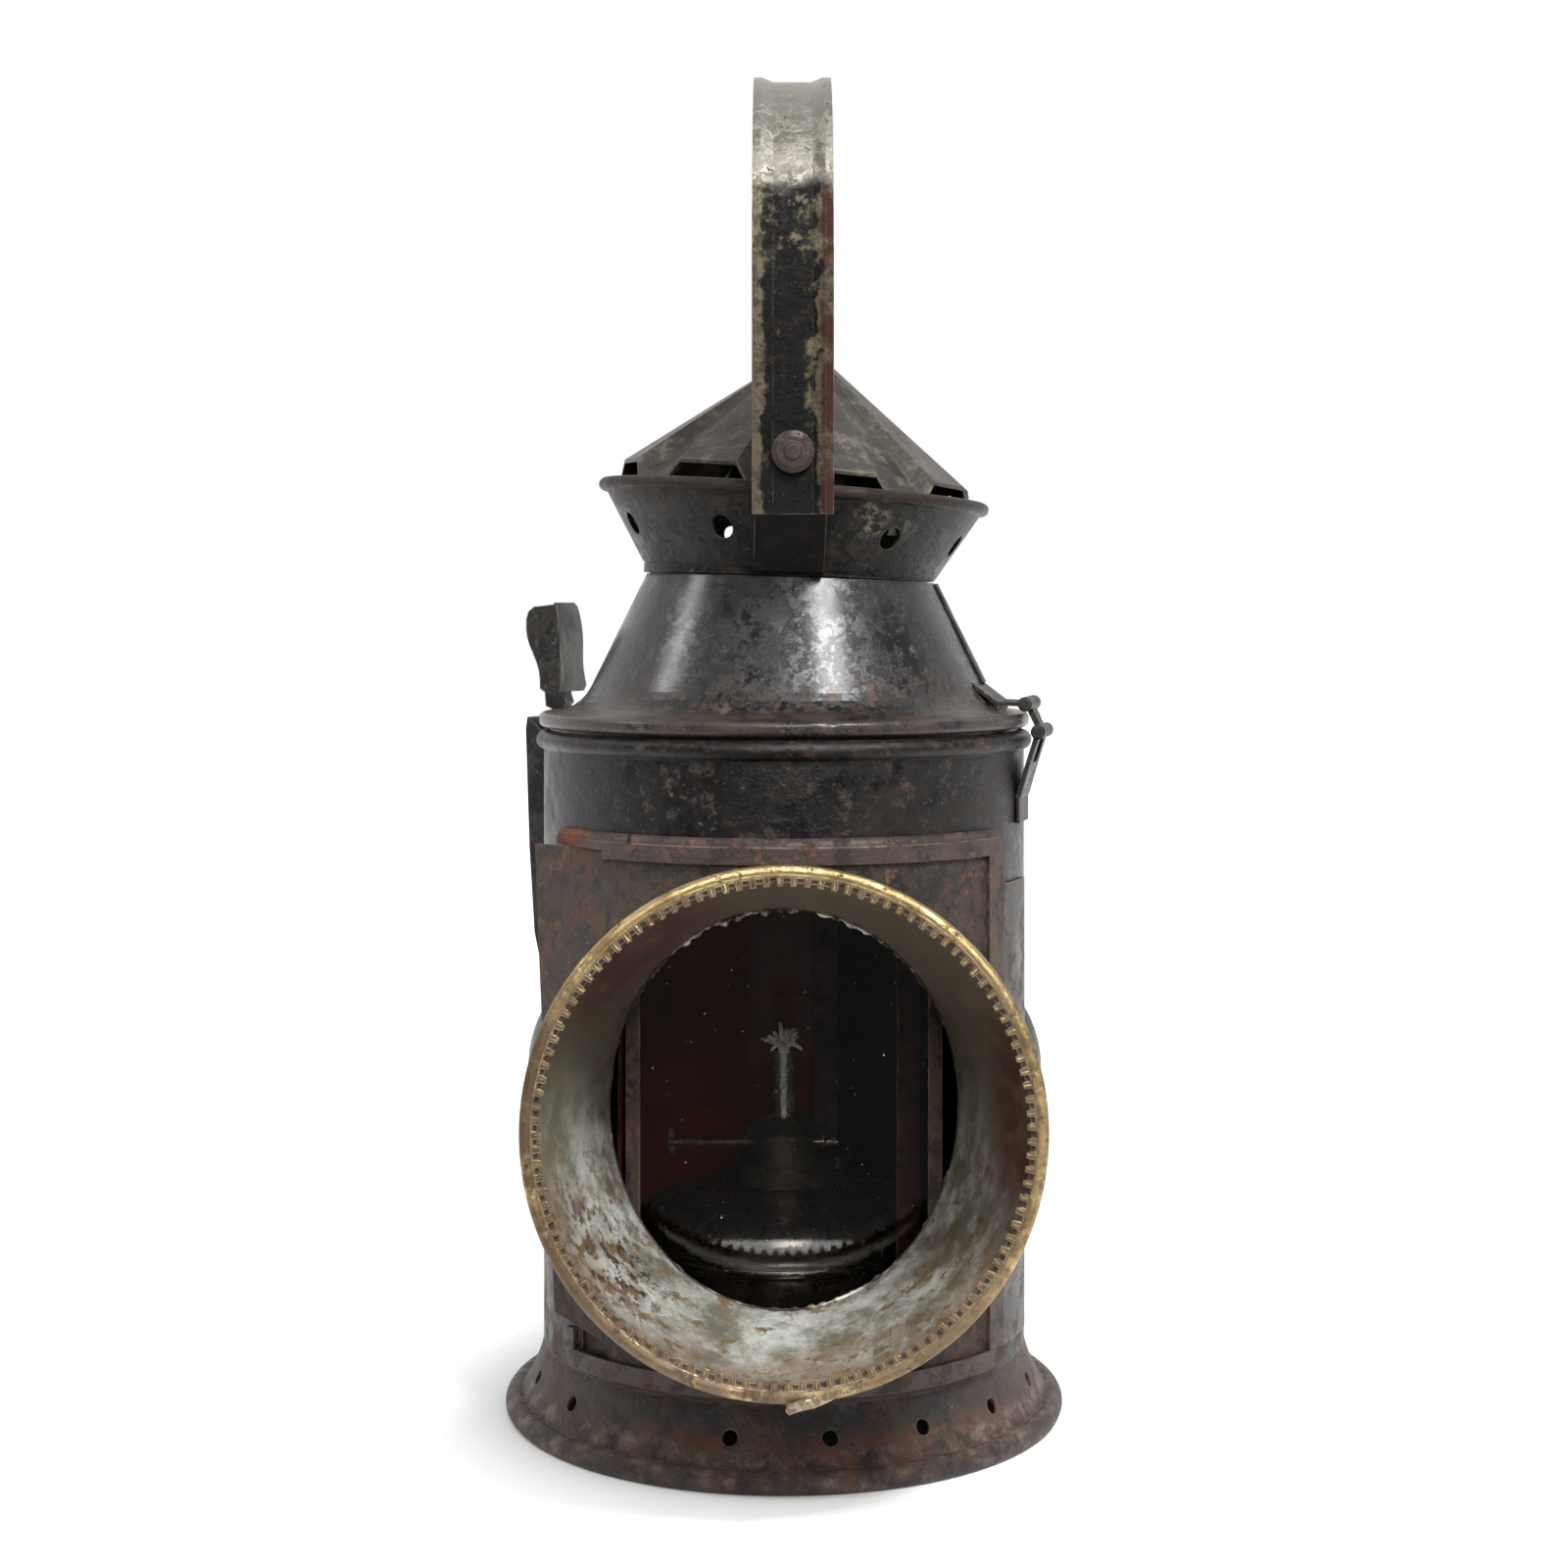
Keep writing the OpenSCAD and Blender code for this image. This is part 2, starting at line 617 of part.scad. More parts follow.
// Ears that carry the bail, one at the front and one at the back
module bail_ears() {
  ear_w = 16;
  color("#26231f") leaned() for (a = [0, 180]) az(a) difference() {
    rotate([90, 0, -90]) linear_extrude(ear_w, center = true)
      polygon([[neck_r, neck_z + 1.2], [neck_r + 1.8, neck_z + 1.2], [48.9, 213.4], [48.9, 231],
        [47.7, 231], [47.7, 213.9], [neck_r + 3.4, neck_z + 5], [neck_r, neck_z + 5]]);
    tilted(crown_lean * cos(a), neck_z) rotate_extrude() polygon([[0, neck_z - 2],
      [neck_r + 0.57, neck_z - 2], [neck_r + 0.57, neck_z + gap + 1.4], [crown_r + 0.02, crown_z],
      [crown_r + 0.02, 240], [0, 240]]);
    cross_pin(2.2, -60, -30, 0, pivot_z);
  }
}

module bail_rivets() {
  color("#5a4a44") leaned() for (a = [0, 180]) az(a) {
    cross_pin(2.2, -52.6, -46.6, 0, pivot_z);
    cross_pin(4.2, -47.7, -46.5, 0, pivot_z);
    translate([0, -51.35, pivot_z]) rotate([90, 0, 0]) {
      cylinder(r = 4.7, h = 1.0);
      translate([0, 0, 1]) cylinder(r1 = 4.7, r2 = 3.4, h = 0.6);
      translate([0, 0, 1.5]) cylinder(r1 = 2.4, r2 = 1.5, h = 0.8);
    }
  }
}

// Bail: one dished strap, bent over in a half circle
module bail_section() {
  h = bail_w / 2;
  outer = bail_y;
  inner = bail_y - 2.6;
  polygon([[inner + 1.0, -h], [outer, -h], [outer, -h + 1.8], [inner + 1.5, -h + 4.6],
    [inner + 1.5, h - 4.6], [outer, h - 1.8], [outer, h], [inner + 1.0, h], [inner, h - 3.4],
    [inner, -h + 3.4]]);
}

module bail_handle() {
  color("#3b3835") difference() {
    translate([bail_x, 0, 0]) {
      translate([0, 0, bail_arch_z]) rotate([0, 0, 90]) rotate([90, 0, 0])
        rotate_extrude(angle = 180, $fn = 96) bail_section();
      for (a = [0, 180]) az(a) translate([0, 0, bail_foot_z]) rotate([0, 0, -90])
        linear_extrude(bail_arch_z - bail_foot_z) bail_section();
    }
    translate([bail_x, 0, bail_pivot_z]) rotate([90, 0, 0]) cylinder(r = 2.27, h = 140, center = true);
  }
}

// Fork that hangs from the crown and turns the drum
module drum_driver() {
  bar_z = lip_z + 0.6;
  color("#46413c") leaned() az(post_az) {
    translate([-35.1, -4, bar_z]) cube([35.1 + 35.8, 8, 1.2]);
    for (s = [-1, 1])
      translate([s * fork_r - 0.6, -4, fork_low_z]) cube([1.2, 8, bar_z + 0.6 - fork_low_z]);
  }
}

// Drum
module drum_bottom_ring() {
  color("#4c443d") {
    ring(drum_r, drum_r - 3.0, drum_z0, drum_z0 + 1);
    ring(drum_r, drum_r - 0.8, drum_z0, drum_z0 + 7);
  }
}

module drum_posts() {
  color("#4c443d") for (k = [0 : 2])
    arc_strip(drum_r, drum_r - 0.8, drum_z0 + 7, drum_z1 - 7, post_az + post_step * k - 5,
      post_az + post_step * k + 5);
}

module drum_top_spider() {
  color("#4c443d") {
    ring(drum_r, drum_r - 0.8, drum_z1 - 7, drum_z1);
    ring(drum_r, drum_r - 4, drum_z1 - 1, drum_z1);
    az(post_az) {
      for (s = [-1, 1]) {
        translate([s > 0 ? fork_r - 5 : -drum_r + 3, -8.5, drum_z1 - 1])
          cube([drum_r - 3 - fork_r + 5, 17, 1]);
        for (t = [-1, 1]) translate([s * fork_r - 2, t * 7.5 - 0.6, drum_z1 - 0.5]) cube([4, 1.2, 8]);
      }
    }
  }
}

module pane(mid) {
  arc_strip(drum_r - 0.85, drum_r - 2.45, drum_z0 + 1.2, drum_z1 - 1.3, mid - pane_arc / 2 - 3,
    mid + pane_arc / 2 + 3);
}

module red_glass() {
  color("#8d1414", 0.5) pane(post_az + post_step * 1.5);
}

module green_glass() {
  color("#145c38", 0.5) pane(post_az + post_step / 2);
}

// Font and burner
// Oil font: a can whose domed top is seamed on above the rim
function font_shoulder(grow) = [for (k = [0 : 9]) let (a = 8 * k)
  [font_r - 8.4 + (6.6 + grow) * cos(a), font_z + 3.2 + (6.6 + grow) * sin(a)]];

module oil_font() {
  top = concat([[0, font_floor_z], [font_r, font_floor_z], [font_r, font_z - 2], [font_r + 0.9, font_z - 1],
    [font_r + 0.9, font_z + 0.4], [font_r - 1.4, font_z + 1]], font_shoulder(0),
    [[font_r - 16, font_z + 11.6], [10, font_z + 13], [10, font_z + 15], [0, font_z + 15]]);
  inside = concat([[0, font_floor_z + 1], [font_r - 1, font_floor_z + 1], [font_r - 1, font_z - 1.5],
    [font_r - 2.6, font_z]], font_shoulder(-0.9),
    [[font_r - 16.4, font_z + 10.7], [9, font_z + 12.1], [9, font_z + 16], [0, font_z + 16]]);
  color("#3b3532") difference() {
    rotate_extrude() polygon(top);
    rotate_extrude() polygon(inside);
    az(150) translate([0, -21, font_z]) cylinder(r = 4.5, h = 20, $fn = 32);
  }
}

module filler_cap() {
  teeth = 24;
  color("#7a6238") az(150) translate([0, -21, font_z + 6]) {
    cylinder(r = 4.4, h = 6.8, $fn = 32);
    translate([0, 0, 6.7]) linear_extrude(2.9) polygon([for (k = [0 : teeth * 2 - 1])
      let (a = 180 * k / teeth, q = k % 2 == 0 ? 6.2 : 5.8) [q * cos(a), q * sin(a)]]);
    translate([0, 0, 9.6]) cylinder(r1 = 5.6, r2 = 3, h = 0.8, $fn = 32);
  }
}

module burner_collar() {
  z0 = font_z + 15;
  color("#6f5a36") difference() {
    rotate_extrude() polygon([[2.36, z0 + 13.4], [4.6, z0 + 13.4], [9, z0 + 10], [9, z0 + 3], [11.4, z0 + 3],
      [11.4, z0 - 1.9], [10.02, z0 - 1.9], [10.02, z0 + 0.02], [8, z0 + 0.02], [8, z0 + 9.4],
      [4.1, z0 + 12.4], [2.36, z0 + 12.4]]);
    translate([0, -4.9, spindle_z]) rotate([0, 90, 0]) cylinder(r = 0.87, h = 60, center = true, $fn = 32);
  }
}

module wick_tube() {
  color("#c9c5ba") difference() {
    translate([0, 0, 58]) cylinder(r = 2.35, h = tube_top_z - 58, $fn = 32);
    translate([0, 0, 57]) cylinder(r = 1.75, h = 40, $fn = 32);
    translate([-5, -6, spindle_z - 2.6]) cube([10, 5.2, 5.2]);
  }
}

module wick_spindle() {
  teeth = 8;
  color("#8c857a") translate([0, -4.9, spindle_z]) rotate([0, 90, 0]) {
    translate([0, 0, -26]) cylinder(r = 0.8, h = 39, $fn = 32);
    linear_extrude(1.4, center = true) difference() {
      polygon([for (k = [0 : teeth * 2 - 1]) let (a = 180 * k / teeth, q = k % 2 == 0 ? 2.75 : 1.7)
        [q * cos(a), q * sin(a)]]);
      circle(r = 0.75, $fn = 24);
    }
    for (z = [-9.6, 8.9]) translate([0, 0, z]) cylinder(r = 1.5, h = 0.7, $fn = 24);
  }
}

module wick_knob() {
  teeth = 20;
  color("#a09a8e") translate([-27.4, -4.9, spindle_z]) rotate([0, 90, 0]) linear_extrude(1.4)
    polygon([for (k = [0 : teeth * 2 - 1]) let (a = 180 * k / teeth, q = k % 2 == 0 ? 3.1 : 2.8)
      [q * cos(a), q * sin(a)]]);
}

module wick() {
  strands = 9;
  color("#b9b3a0") {
    translate([0, 0, font_floor_z + 3]) cylinder(r = 1.35, h = tube_top_z + 2 - font_floor_z - 3, $fn = 24);
    for (k = [0 : strands - 1])
      translate([0, 0, tube_top_z + 1]) rotate([0, 18 + 34 * (k % 3) / 2, 360 * k / strands])
        cylinder(r1 = 0.9, r2 = 0.45, h = 4.6 + (k % 4) * 0.5, $fn = 16);
  }
}

base_skirt();
floor_plate();
font_seat();
body_shell();
top_guide();
bottom_guide();
right_guide();
left_guide();
front_plate();
hood();
brass_rim();
front_glass();
glass_channels();
side_bosses();
wall_patch();
catch_sleeve();
catch_pivot_pin();
catch_spring();
catch_lever();
hinge_body_strap();
hinge_lower_pin();
hinge_link();
hinge_lid_strap();
hinge_upper_pin();
lid_cone();
lid_collar();
crown();
fluted_cap();
cap_struts();
bail_ears();
bail_rivets();
bail_handle();
drum_driver();
drum_bottom_ring();
drum_posts();
drum_top_spider();
red_glass();
green_glass();
oil_font();
filler_cap();
burner_collar();
wick_tube();
wick_spindle();
wick_knob();
wick();
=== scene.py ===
import math
import random
import bpy
from mathutils import Matrix, Vector, noise


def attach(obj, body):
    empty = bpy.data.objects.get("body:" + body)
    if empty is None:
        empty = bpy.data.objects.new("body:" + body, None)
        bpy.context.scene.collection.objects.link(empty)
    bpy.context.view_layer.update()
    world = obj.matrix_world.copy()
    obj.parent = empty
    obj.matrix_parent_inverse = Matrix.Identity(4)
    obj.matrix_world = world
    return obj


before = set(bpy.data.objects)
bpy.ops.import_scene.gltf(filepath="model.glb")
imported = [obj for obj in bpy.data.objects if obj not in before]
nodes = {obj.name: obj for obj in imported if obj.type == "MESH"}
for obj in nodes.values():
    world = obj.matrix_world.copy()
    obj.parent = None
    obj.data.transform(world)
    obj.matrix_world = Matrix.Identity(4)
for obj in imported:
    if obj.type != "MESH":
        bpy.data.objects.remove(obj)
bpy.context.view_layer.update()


# The view: the photograph was taken from straight in front, level with the crown's rim,
# with a lens long enough to keep the body's sides upright.
eye_y, eye_z = -0.600, 0.190
camera = bpy.data.cameras.new("camera")
camera.lens = 57.44
camera.shift_y = -0.1125
camera_object = bpy.data.objects.new("camera", camera)
camera_object.location = (0, eye_y, eye_z)
camera_object.rotation_euler = (math.radians(90), 0, 0)
bpy.context.scene.collection.objects.link(camera_object)
bpy.context.scene.camera = camera_object


# The studio: three soft boxes overhead. The right and the left one make the two streaks on the
# lid's cone, and the front one lights the hood. The room is white behind the lamp and grey
# behind the camera.
lamp_middle = Vector((0, 0, 0.17))


def soft_box(name, place, size, watts):
    lamp = bpy.data.lights.new(name, "AREA")
    lamp.size = size
    lamp.energy = watts
    lamp_object = bpy.data.objects.new(name, lamp)
    lamp_object.location = place
    aim = lamp_middle - Vector(place)
    lamp_object.rotation_euler = aim.to_track_quat("-Z", "Y").to_euler()
    bpy.context.scene.collection.objects.link(lamp_object)


soft_box("box_right", (0.36, -0.56, 0.95), 0.24, 11.0)
soft_box("box_left", (-0.84, -0.05, 0.80), 0.17, 2.5)
soft_box("box_front", (0.09, -0.98, 0.74), 0.36, 9.0)


def feed(tree, socket, value):
    # a plain value is set on the socket, and another node's output is linked to it
    if isinstance(value, (int, float, tuple)):
        socket.default_value = value
    else:
        tree.links.new(value, socket)


def math_of(tree, kind, *values):
    node = tree.nodes.new("ShaderNodeMath")
    node.operation = kind
    for socket, value in zip(node.inputs, values):
        feed(tree, socket, value)
    return node.outputs[0]


def spread(tree, value, low, high, to_low=0.0, to_high=1.0, kind="LINEAR"):
    # `to_low` where the value is `low`, and `to_high` where it is `high`
    node = tree.nodes.new("ShaderNodeMapRange")
    node.interpolation_type = kind
    for label, end in (("Value", value), ("From Min", low), ("From Max", high),
                       ("To Min", to_low), ("To Max", to_high)):
        feed(tree, node.inputs[label], end)
    return node.outputs["Result"]


bpy.context.scene.view_settings.view_transform = "Standard"
world = bpy.data.worlds.new("studio")
bpy.context.scene.world = world
world.use_nodes = True
sky = world.node_tree
sky.nodes.clear()
toward = sky.nodes.new("ShaderNodeSeparateXYZ")
sky.links.new(sky.nodes.new("ShaderNodeTexCoord").outputs["Generated"], toward.inputs[0])
# what lights the lamp brightens from behind the camera to behind the lamp
room = spread(sky, toward.outputs["Y"], -0.25, 0.80, 0.07, 1.0)
# a mirror or a pane shows a white backdrop behind the lamp, and the camera sees white all round
behind = spread(sky, toward.outputs["Y"], 0.30, 0.75)
rays = sky.nodes.new("ShaderNodeLightPath").outputs
mirrored = math_of(sky, "ADD", rays["Is Glossy Ray"], rays["Is Transmission Ray"])
backdrop = math_of(sky, "MULTIPLY_ADD", mirrored, behind, rays["Is Camera Ray"])
seen = math_of(sky, "MAXIMUM", math_of(sky, "MINIMUM", backdrop, 1.0), room)
sky_light = sky.nodes.new("ShaderNodeBackground")
sky_light.inputs["Color"].default_value = (1, 1, 1, 1)
sky.links.new(seen, sky_light.inputs["Strength"])
sky_out = sky.nodes.new("ShaderNodeOutputWorld")
sky.links.new(sky_light.outputs[0], sky_out.inputs["Surface"])


# The floor: white paper, which ends in front of the lamp, so that the window mirrors the dark
# room. It glows where it is looked at, and less near the foot, which leaves a soft shadow there.
def new_material(name):
    material = bpy.data.materials.new(name)
    material.use_nodes = True
    return material, material.node_tree, material.node_tree.nodes["Principled BSDF"]


def vector_of(tree, kind, *values):
    node = tree.nodes.new("ShaderNodeVectorMath")
    node.operation = kind
    for socket, value in zip(node.inputs, values):
        feed(tree, socket, value)
    return node


floor_side, floor_y = 4, 1.76
bpy.ops.object.select_all(action="DESELECT")
bpy.ops.mesh.primitive_plane_add(size=floor_side, location=(0, floor_y, -0.0002))
floor = bpy.context.object
floor.name = "floor"
floor_paper, paper_tree, paper = new_material("floor_paper")
paper.inputs["Base Color"].default_value = (0.86, 0.86, 0.86, 1)
paper.inputs["Roughness"].default_value = 0.9
paper.inputs["Specular IOR Level"].default_value = 0.0
paper.inputs["Emission Color"].default_value = (1, 1, 1, 1)
on_paper = paper_tree.nodes.new("ShaderNodeTexCoord").outputs["Object"]
away = vector_of(paper_tree, "DISTANCE", on_paper, (0, -floor_y, 0)).outputs["Value"]
# the glow grows fast from the foot's edge and slowly further out
glow = math_of(paper_tree, "ADD", spread(paper_tree, away, 0.058, 0.10, 0.0, 0.55),
               spread(paper_tree, away, 0.15, 1.2, 0.0, 0.6))
rays = paper_tree.nodes.new("ShaderNodeLightPath").outputs
looked_at = math_of(paper_tree, "ADD", rays["Is Camera Ray"], rays["Is Glossy Ray"])
looked_at = math_of(paper_tree, "ADD", looked_at, rays["Is Transmission Ray"])
looked_at.node.use_clamp = True
paper_tree.links.new(math_of(paper_tree, "MULTIPLY", glow, looked_at),
                     paper.inputs["Emission Strength"])
floor.data.materials.append(floor_paper)


# The foot: a flared skirt of thin sheet, rolled at its rim, punched with draught holes and
# long since rusted through its paint. The floor plate and the font's seat inside are as rusty.
def srgb(r, g, b):
    return tuple(c / 255 / 12.92 if c <= 10 else ((c / 255 + 0.055) / 1.055) ** 2.4
                 for c in (r, g, b)) + (1.0,)


def new_group(name, inputs, outputs):
    # a node group with its sockets, and the nodes at its two ends
    group = bpy.data.node_groups.new(name, "ShaderNodeTree")
    for label, kind, value in inputs:
        socket = group.interface.new_socket(label, in_out="INPUT", socket_type=kind)
        if value is not None:
            socket.default_value = value
    for label, kind in outputs:
        group.interface.new_socket(label, in_out="OUTPUT", socket_type=kind)
    return group, group.nodes.new("NodeGroupInput"), group.nodes.new("NodeGroupOutput")


def noise_of(tree, place, scale, detail, rough=0.5):
    node = tree.nodes.new("ShaderNodeTexNoise")
    for label, value in (("Vector", place), ("Scale", scale), ("Detail", detail),
                         ("Roughness", rough)):
        feed(tree, node.inputs[label], value)
    return node


def ramp(tree, value, low, high):
    # 0 at `low` and 1 at `high`, with soft ends
    return spread(tree, value, low, high, kind="SMOOTHSTEP")


# irregular patches: 0 where the noise is at Low and 1 where it is at High
patches, g_in, g_out = new_group(
    "patches",
    [("Place", "NodeSocketVector", None), ("Grain", "NodeSocketFloat", 100.0),
     ("Low", "NodeSocketFloat", 0.45), ("High", "NodeSocketFloat", 0.6)],
    [("Mask", "NodeSocketFloat")])
cloud = noise_of(patches, g_in.outputs["Place"], g_in.outputs["Grain"], 9, 0.70)
patches.links.new(ramp(patches, cloud.outputs["Fac"], g_in.outputs["Low"], g_in.outputs["High"]),
                  g_out.inputs["Mask"])

# rubbed edges, where a rounded normal leaves the true one, broken up by noise
edge_wear, g_in, g_out = new_group(
    "edge_wear",
    [("Place", "NodeSocketVector", None), ("Width", "NodeSocketFloat", 0.0005)],
    [("Mask", "NodeSocketFloat")])
softened = edge_wear.nodes.new("ShaderNodeBevel")
softened.samples = 4
edge_wear.links.new(g_in.outputs["Width"], softened.inputs["Radius"])
true_face = edge_wear.nodes.new("ShaderNodeNewGeometry").outputs["Normal"]
alike = vector_of(edge_wear, "DOT_PRODUCT", softened.outputs[0], true_face)
turned = spread(edge_wear, alike.outputs["Value"], 0.995, 0.86)
broken = noise_of(edge_wear, g_in.outputs["Place"], 180, 5)
kept = spread(edge_wear, broken.outputs["Fac"], 0.38, 0.55)
edge_wear.links.new(math_of(edge_wear, "MULTIPLY", turned, kept), g_out.inputs["Mask"])

# the height of the surface: fine pits, dents, and the coats that lie on it
relief, g_in, g_out = new_group(
    "relief",
    [("Place", "NodeSocketVector", None), ("Grain", "NodeSocketFloat", 900.0),
     ("Coats", "NodeSocketFloat", 0.0)],
    [("Height", "NodeSocketFloat")])
pitted = noise_of(relief, g_in.outputs["Place"], g_in.outputs["Grain"], 6, 0.7)
dented = noise_of(relief, g_in.outputs["Place"], 38, 2)
bare = math_of(relief, "MULTIPLY_ADD", dented.outputs["Fac"], 5.0, pitted.outputs["Fac"])
relief.links.new(math_of(relief, "ADD", bare, g_in.outputs["Coats"]), g_out.inputs["Height"])


def group_node(tree, group, **values):
    node = tree.nodes.new("ShaderNodeGroup")
    node.node_tree = group
    for label, value in values.items():
        node.inputs[label].default_value = value
    return node


def mixed(tree, kind, mask, a, b):
    # `a` where the mask is 0 and `b` where it is 1, for a colour ("RGBA") or a number ("FLOAT")
    end = {"RGBA": "Color", "FLOAT": "Float"}[kind]
    node = tree.nodes.new("ShaderNodeMix")
    node.data_type = kind
    sockets = {s.identifier: s for s in node.inputs}
    tree.links.new(mask, sockets["Factor_Float"])
    feed(tree, sockets["A_" + end], a)
    feed(tree, sockets["B_" + end], b)
    return {s.identifier: s for s in node.outputs}["Result_" + end]


# the masks: functions that build, in a material's tree, how far a place lies in some region
def along(axis, low, high):
    # 0 at `low` and 1 at `high`, which may lie below it, in metres along one of the lamp's axes
    def place_mask(tree, place):
        apart = tree.nodes.new("ShaderNodeSeparateXYZ")
        tree.links.new(place, apart.inputs[0])
        return ramp(tree, apart.outputs[axis], low, high)
    return place_mask


def between(axis, low, full, still, gone):
    # a band along one axis: 0 at `low`, 1 from `full` to `still` and 0 again from `gone` on
    return all_of(along(axis, low, full), along(axis, gone, still))


def from_line(tree, place, centre, axis):
    # distance from a line through `centre`, along an axis
    moved = vector_of(tree, "SUBTRACT", place, centre)
    across = {"Y": (1, 0, 1), "Z": (1, 1, 0)}[axis]
    flat = vector_of(tree, "MULTIPLY", moved.outputs["Vector"], across)
    return vector_of(tree, "LENGTH", flat.outputs["Vector"]).outputs["Value"]


def off_axis(centre, axis, low, high):
    # 0 at the distance `low` from that line and 1 at the distance `high`
    def place_mask(tree, place):
        return ramp(tree, from_line(tree, place, centre, axis), low, high)
    return place_mask


def near(point, reach):
    # 1 close to a point, fading to 0 at `reach`
    def place_mask(tree, place):
        away = vector_of(tree, "DISTANCE", place, point).outputs["Value"]
        return ramp(tree, away, reach, reach * 0.35)
    return place_mask


def all_of(*masks):
    # where every one of the masks is 1
    def place_mask(tree, place):
        value = masks[0](tree, place)
        for mask in masks[1:]:
            value = math_of(tree, "MULTIPLY", value, mask(tree, place))
        return value
    return place_mask


def old_metal(name, colour, rough, metal, coats, edge=None, grain=900, depth=0.00012,
              gloss=0.5, shine=0.0, soften=0.0004):
    """One sheet or casting: a ground and the coats of paint, rust and dirt that lie on it.
    A coat is (colour, roughness, metallic, patch size in mm, low, high[, where[, stretch]]),
    and patches of it lie where the noise rises from `low` to `high`, so with 0.0 and 0.05 it is
    whole. An edge is (colour, roughness, metallic, width). Depth is the height of the relief in
    metres, and soften the radius that sharp edges are shaded with."""
    material, tree, shader = new_material(name)
    shader.inputs["Specular IOR Level"].default_value = gloss
    shader.inputs["Coat Roughness"].default_value = 0.22
    shader.inputs["Coat Weight"].default_value = shine
    place = tree.nodes.new("ShaderNodeTexCoord").outputs["Object"]
    now = [colour, rough, metal]
    height = 0.0

    def lay(mask, over):
        # a number that stays the same needs no node
        for k, kind in enumerate(("RGBA", "FLOAT", "FLOAT")):
            if k and isinstance(now[k], float) and now[k] == over[k]:
                continue
            now[k] = mixed(tree, kind, mask, now[k], over[k])

    for k, coat in enumerate(coats):
        tone, coat_rough, coat_metal, size, low, high = coat[:6]
        where = coat[6] if len(coat) > 6 else None
        stretch = coat[7] if len(coat) > 7 else (1, 1, 1)
        # each coat reads another place in the noise
        shifted = tree.nodes.new("ShaderNodeMapping")
        shifted.inputs["Location"].default_value = (0.31 * k + 0.13, 0.17 * k, 0.23 * k)
        shifted.inputs["Scale"].default_value = stretch
        tree.links.new(place, shifted.inputs["Vector"])
        spots = group_node(tree, patches, Grain=1000.0 / size, Low=low, High=high)
        tree.links.new(shifted.outputs[0], spots.inputs["Place"])
        mask = spots.outputs["Mask"]
        if where:
            mask = math_of(tree, "MULTIPLY", mask, where(tree, place))
        lay(mask, (tone, coat_rough, coat_metal))
        # a coat stands a little proud of what it lies on
        height = math_of(tree, "ADD", math_of(tree, "MULTIPLY", mask, 0.8), height)
    if edge:
        tone, edge_rough, edge_metal, width = edge
        worn = group_node(tree, edge_wear, Width=width)
        tree.links.new(place, worn.inputs["Place"])
        lay(worn.outputs["Mask"], (tone, edge_rough, edge_metal))
    pits = group_node(tree, relief, Grain=float(grain))
    tree.links.new(place, pits.inputs["Place"])
    feed(tree, pits.inputs["Coats"], height)
    bump = tree.nodes.new("ShaderNodeBump")
    bump.inputs["Distance"].default_value = depth
    tree.links.new(pits.outputs["Height"], bump.inputs["Height"])
    rounded = tree.nodes.new("ShaderNodeBevel")
    # a wide rounding takes more samples to come out smooth
    rounded.samples = 4 if soften < 0.001 else 12
    rounded.inputs["Radius"].default_value = soften
    tree.links.new(rounded.outputs[0], bump.inputs["Normal"])
    tree.links.new(bump.outputs[0], shader.inputs["Normal"])
    for label, value in zip(("Base Color", "Roughness", "Metallic"), now):
        feed(tree, shader.inputs[label], value)
    return material


def dress(material, *names):
    # the solids of the frame, by name, get the material
    for name in names:
        slots = nodes[name].data.materials
        for k in range(len(slots)):
            slots[k] = material


soot, rust = srgb(22, 19, 18), srgb(84, 58, 46)
skirt_rust_and_painted_light = old_metal("skirt_rust_and_painted_light", srgb(62, 49, 42), 0.5, 0.0, [
    (srgb(82, 60, 48), 0.7, 0.0, 12, 0.40, 0.66),
    # lighter patches on the rolled rim: partly worn paint, partly a painted highlight along the
    # rim
    (srgb(124, 104, 92), 0.48, 0.1, 5, 0.43, 0.64, along("Z", 0.010, 0.007)),
    (srgb(104, 84, 72), 0.5, 0.1, 3.5, 0.54, 0.72),
    (srgb(104, 66, 44), 0.8, 0.0, 7, 0.48, 0.68, near((0.0, -0.060, 0.016), 0.050)),
    (srgb(86, 55, 40), 0.8, 0.0, 5, 0.46, 0.62, along("Z", 0.0125, 0.0165)),
    # dark patches across the front below the hood: partly dark rust, partly a painted shadow of
    # the hood
    (srgb(26, 22, 20), 0.42, 0.0, 12, 0.34, 0.54,
     all_of(along("Z", 0.0085, 0.0135), near((0.004, -0.070, 0.016), 0.080))),
    (srgb(34, 28, 25), 0.45, 0.0, 5, 0.50, 0.68),
    (srgb(130, 112, 98), 0.5, 0.1, 1.5, 0.61, 0.68),
    (srgb(106, 66, 44), 0.85, 0.0, 4, 0.42, 0.68,
     all_of(between("Z", 0.0072, 0.0082, 0.0098, 0.0114), near((0.020, -0.066, 0.009), 0.070))),
    (srgb(156, 142, 128), 0.5, 0.1, 1.6, 0.62, 0.69, off_axis((0, 0, 0), "Z", 0.0585, 0.0615)),
    (srgb(40, 33, 30), 0.5, 0.1, 9, 0.40, 0.62, along("Z", 0.006, 0.003)),
], edge=(srgb(140, 124, 110), 0.45, 0.5, 0.0006), depth=0.00030)
dress(skirt_rust_and_painted_light, "base_skirt")
inner_rust = old_metal("inner_rust", srgb(46, 34, 29), 0.7, 0.0, [
    (rust, 0.8, 0.0, 12, 0.45, 0.65),
    (soot, 0.6, 0.0, 6, 0.48, 0.62),
], depth=0.0002)
dress(inner_rust, "floor_plate", "font_seat")


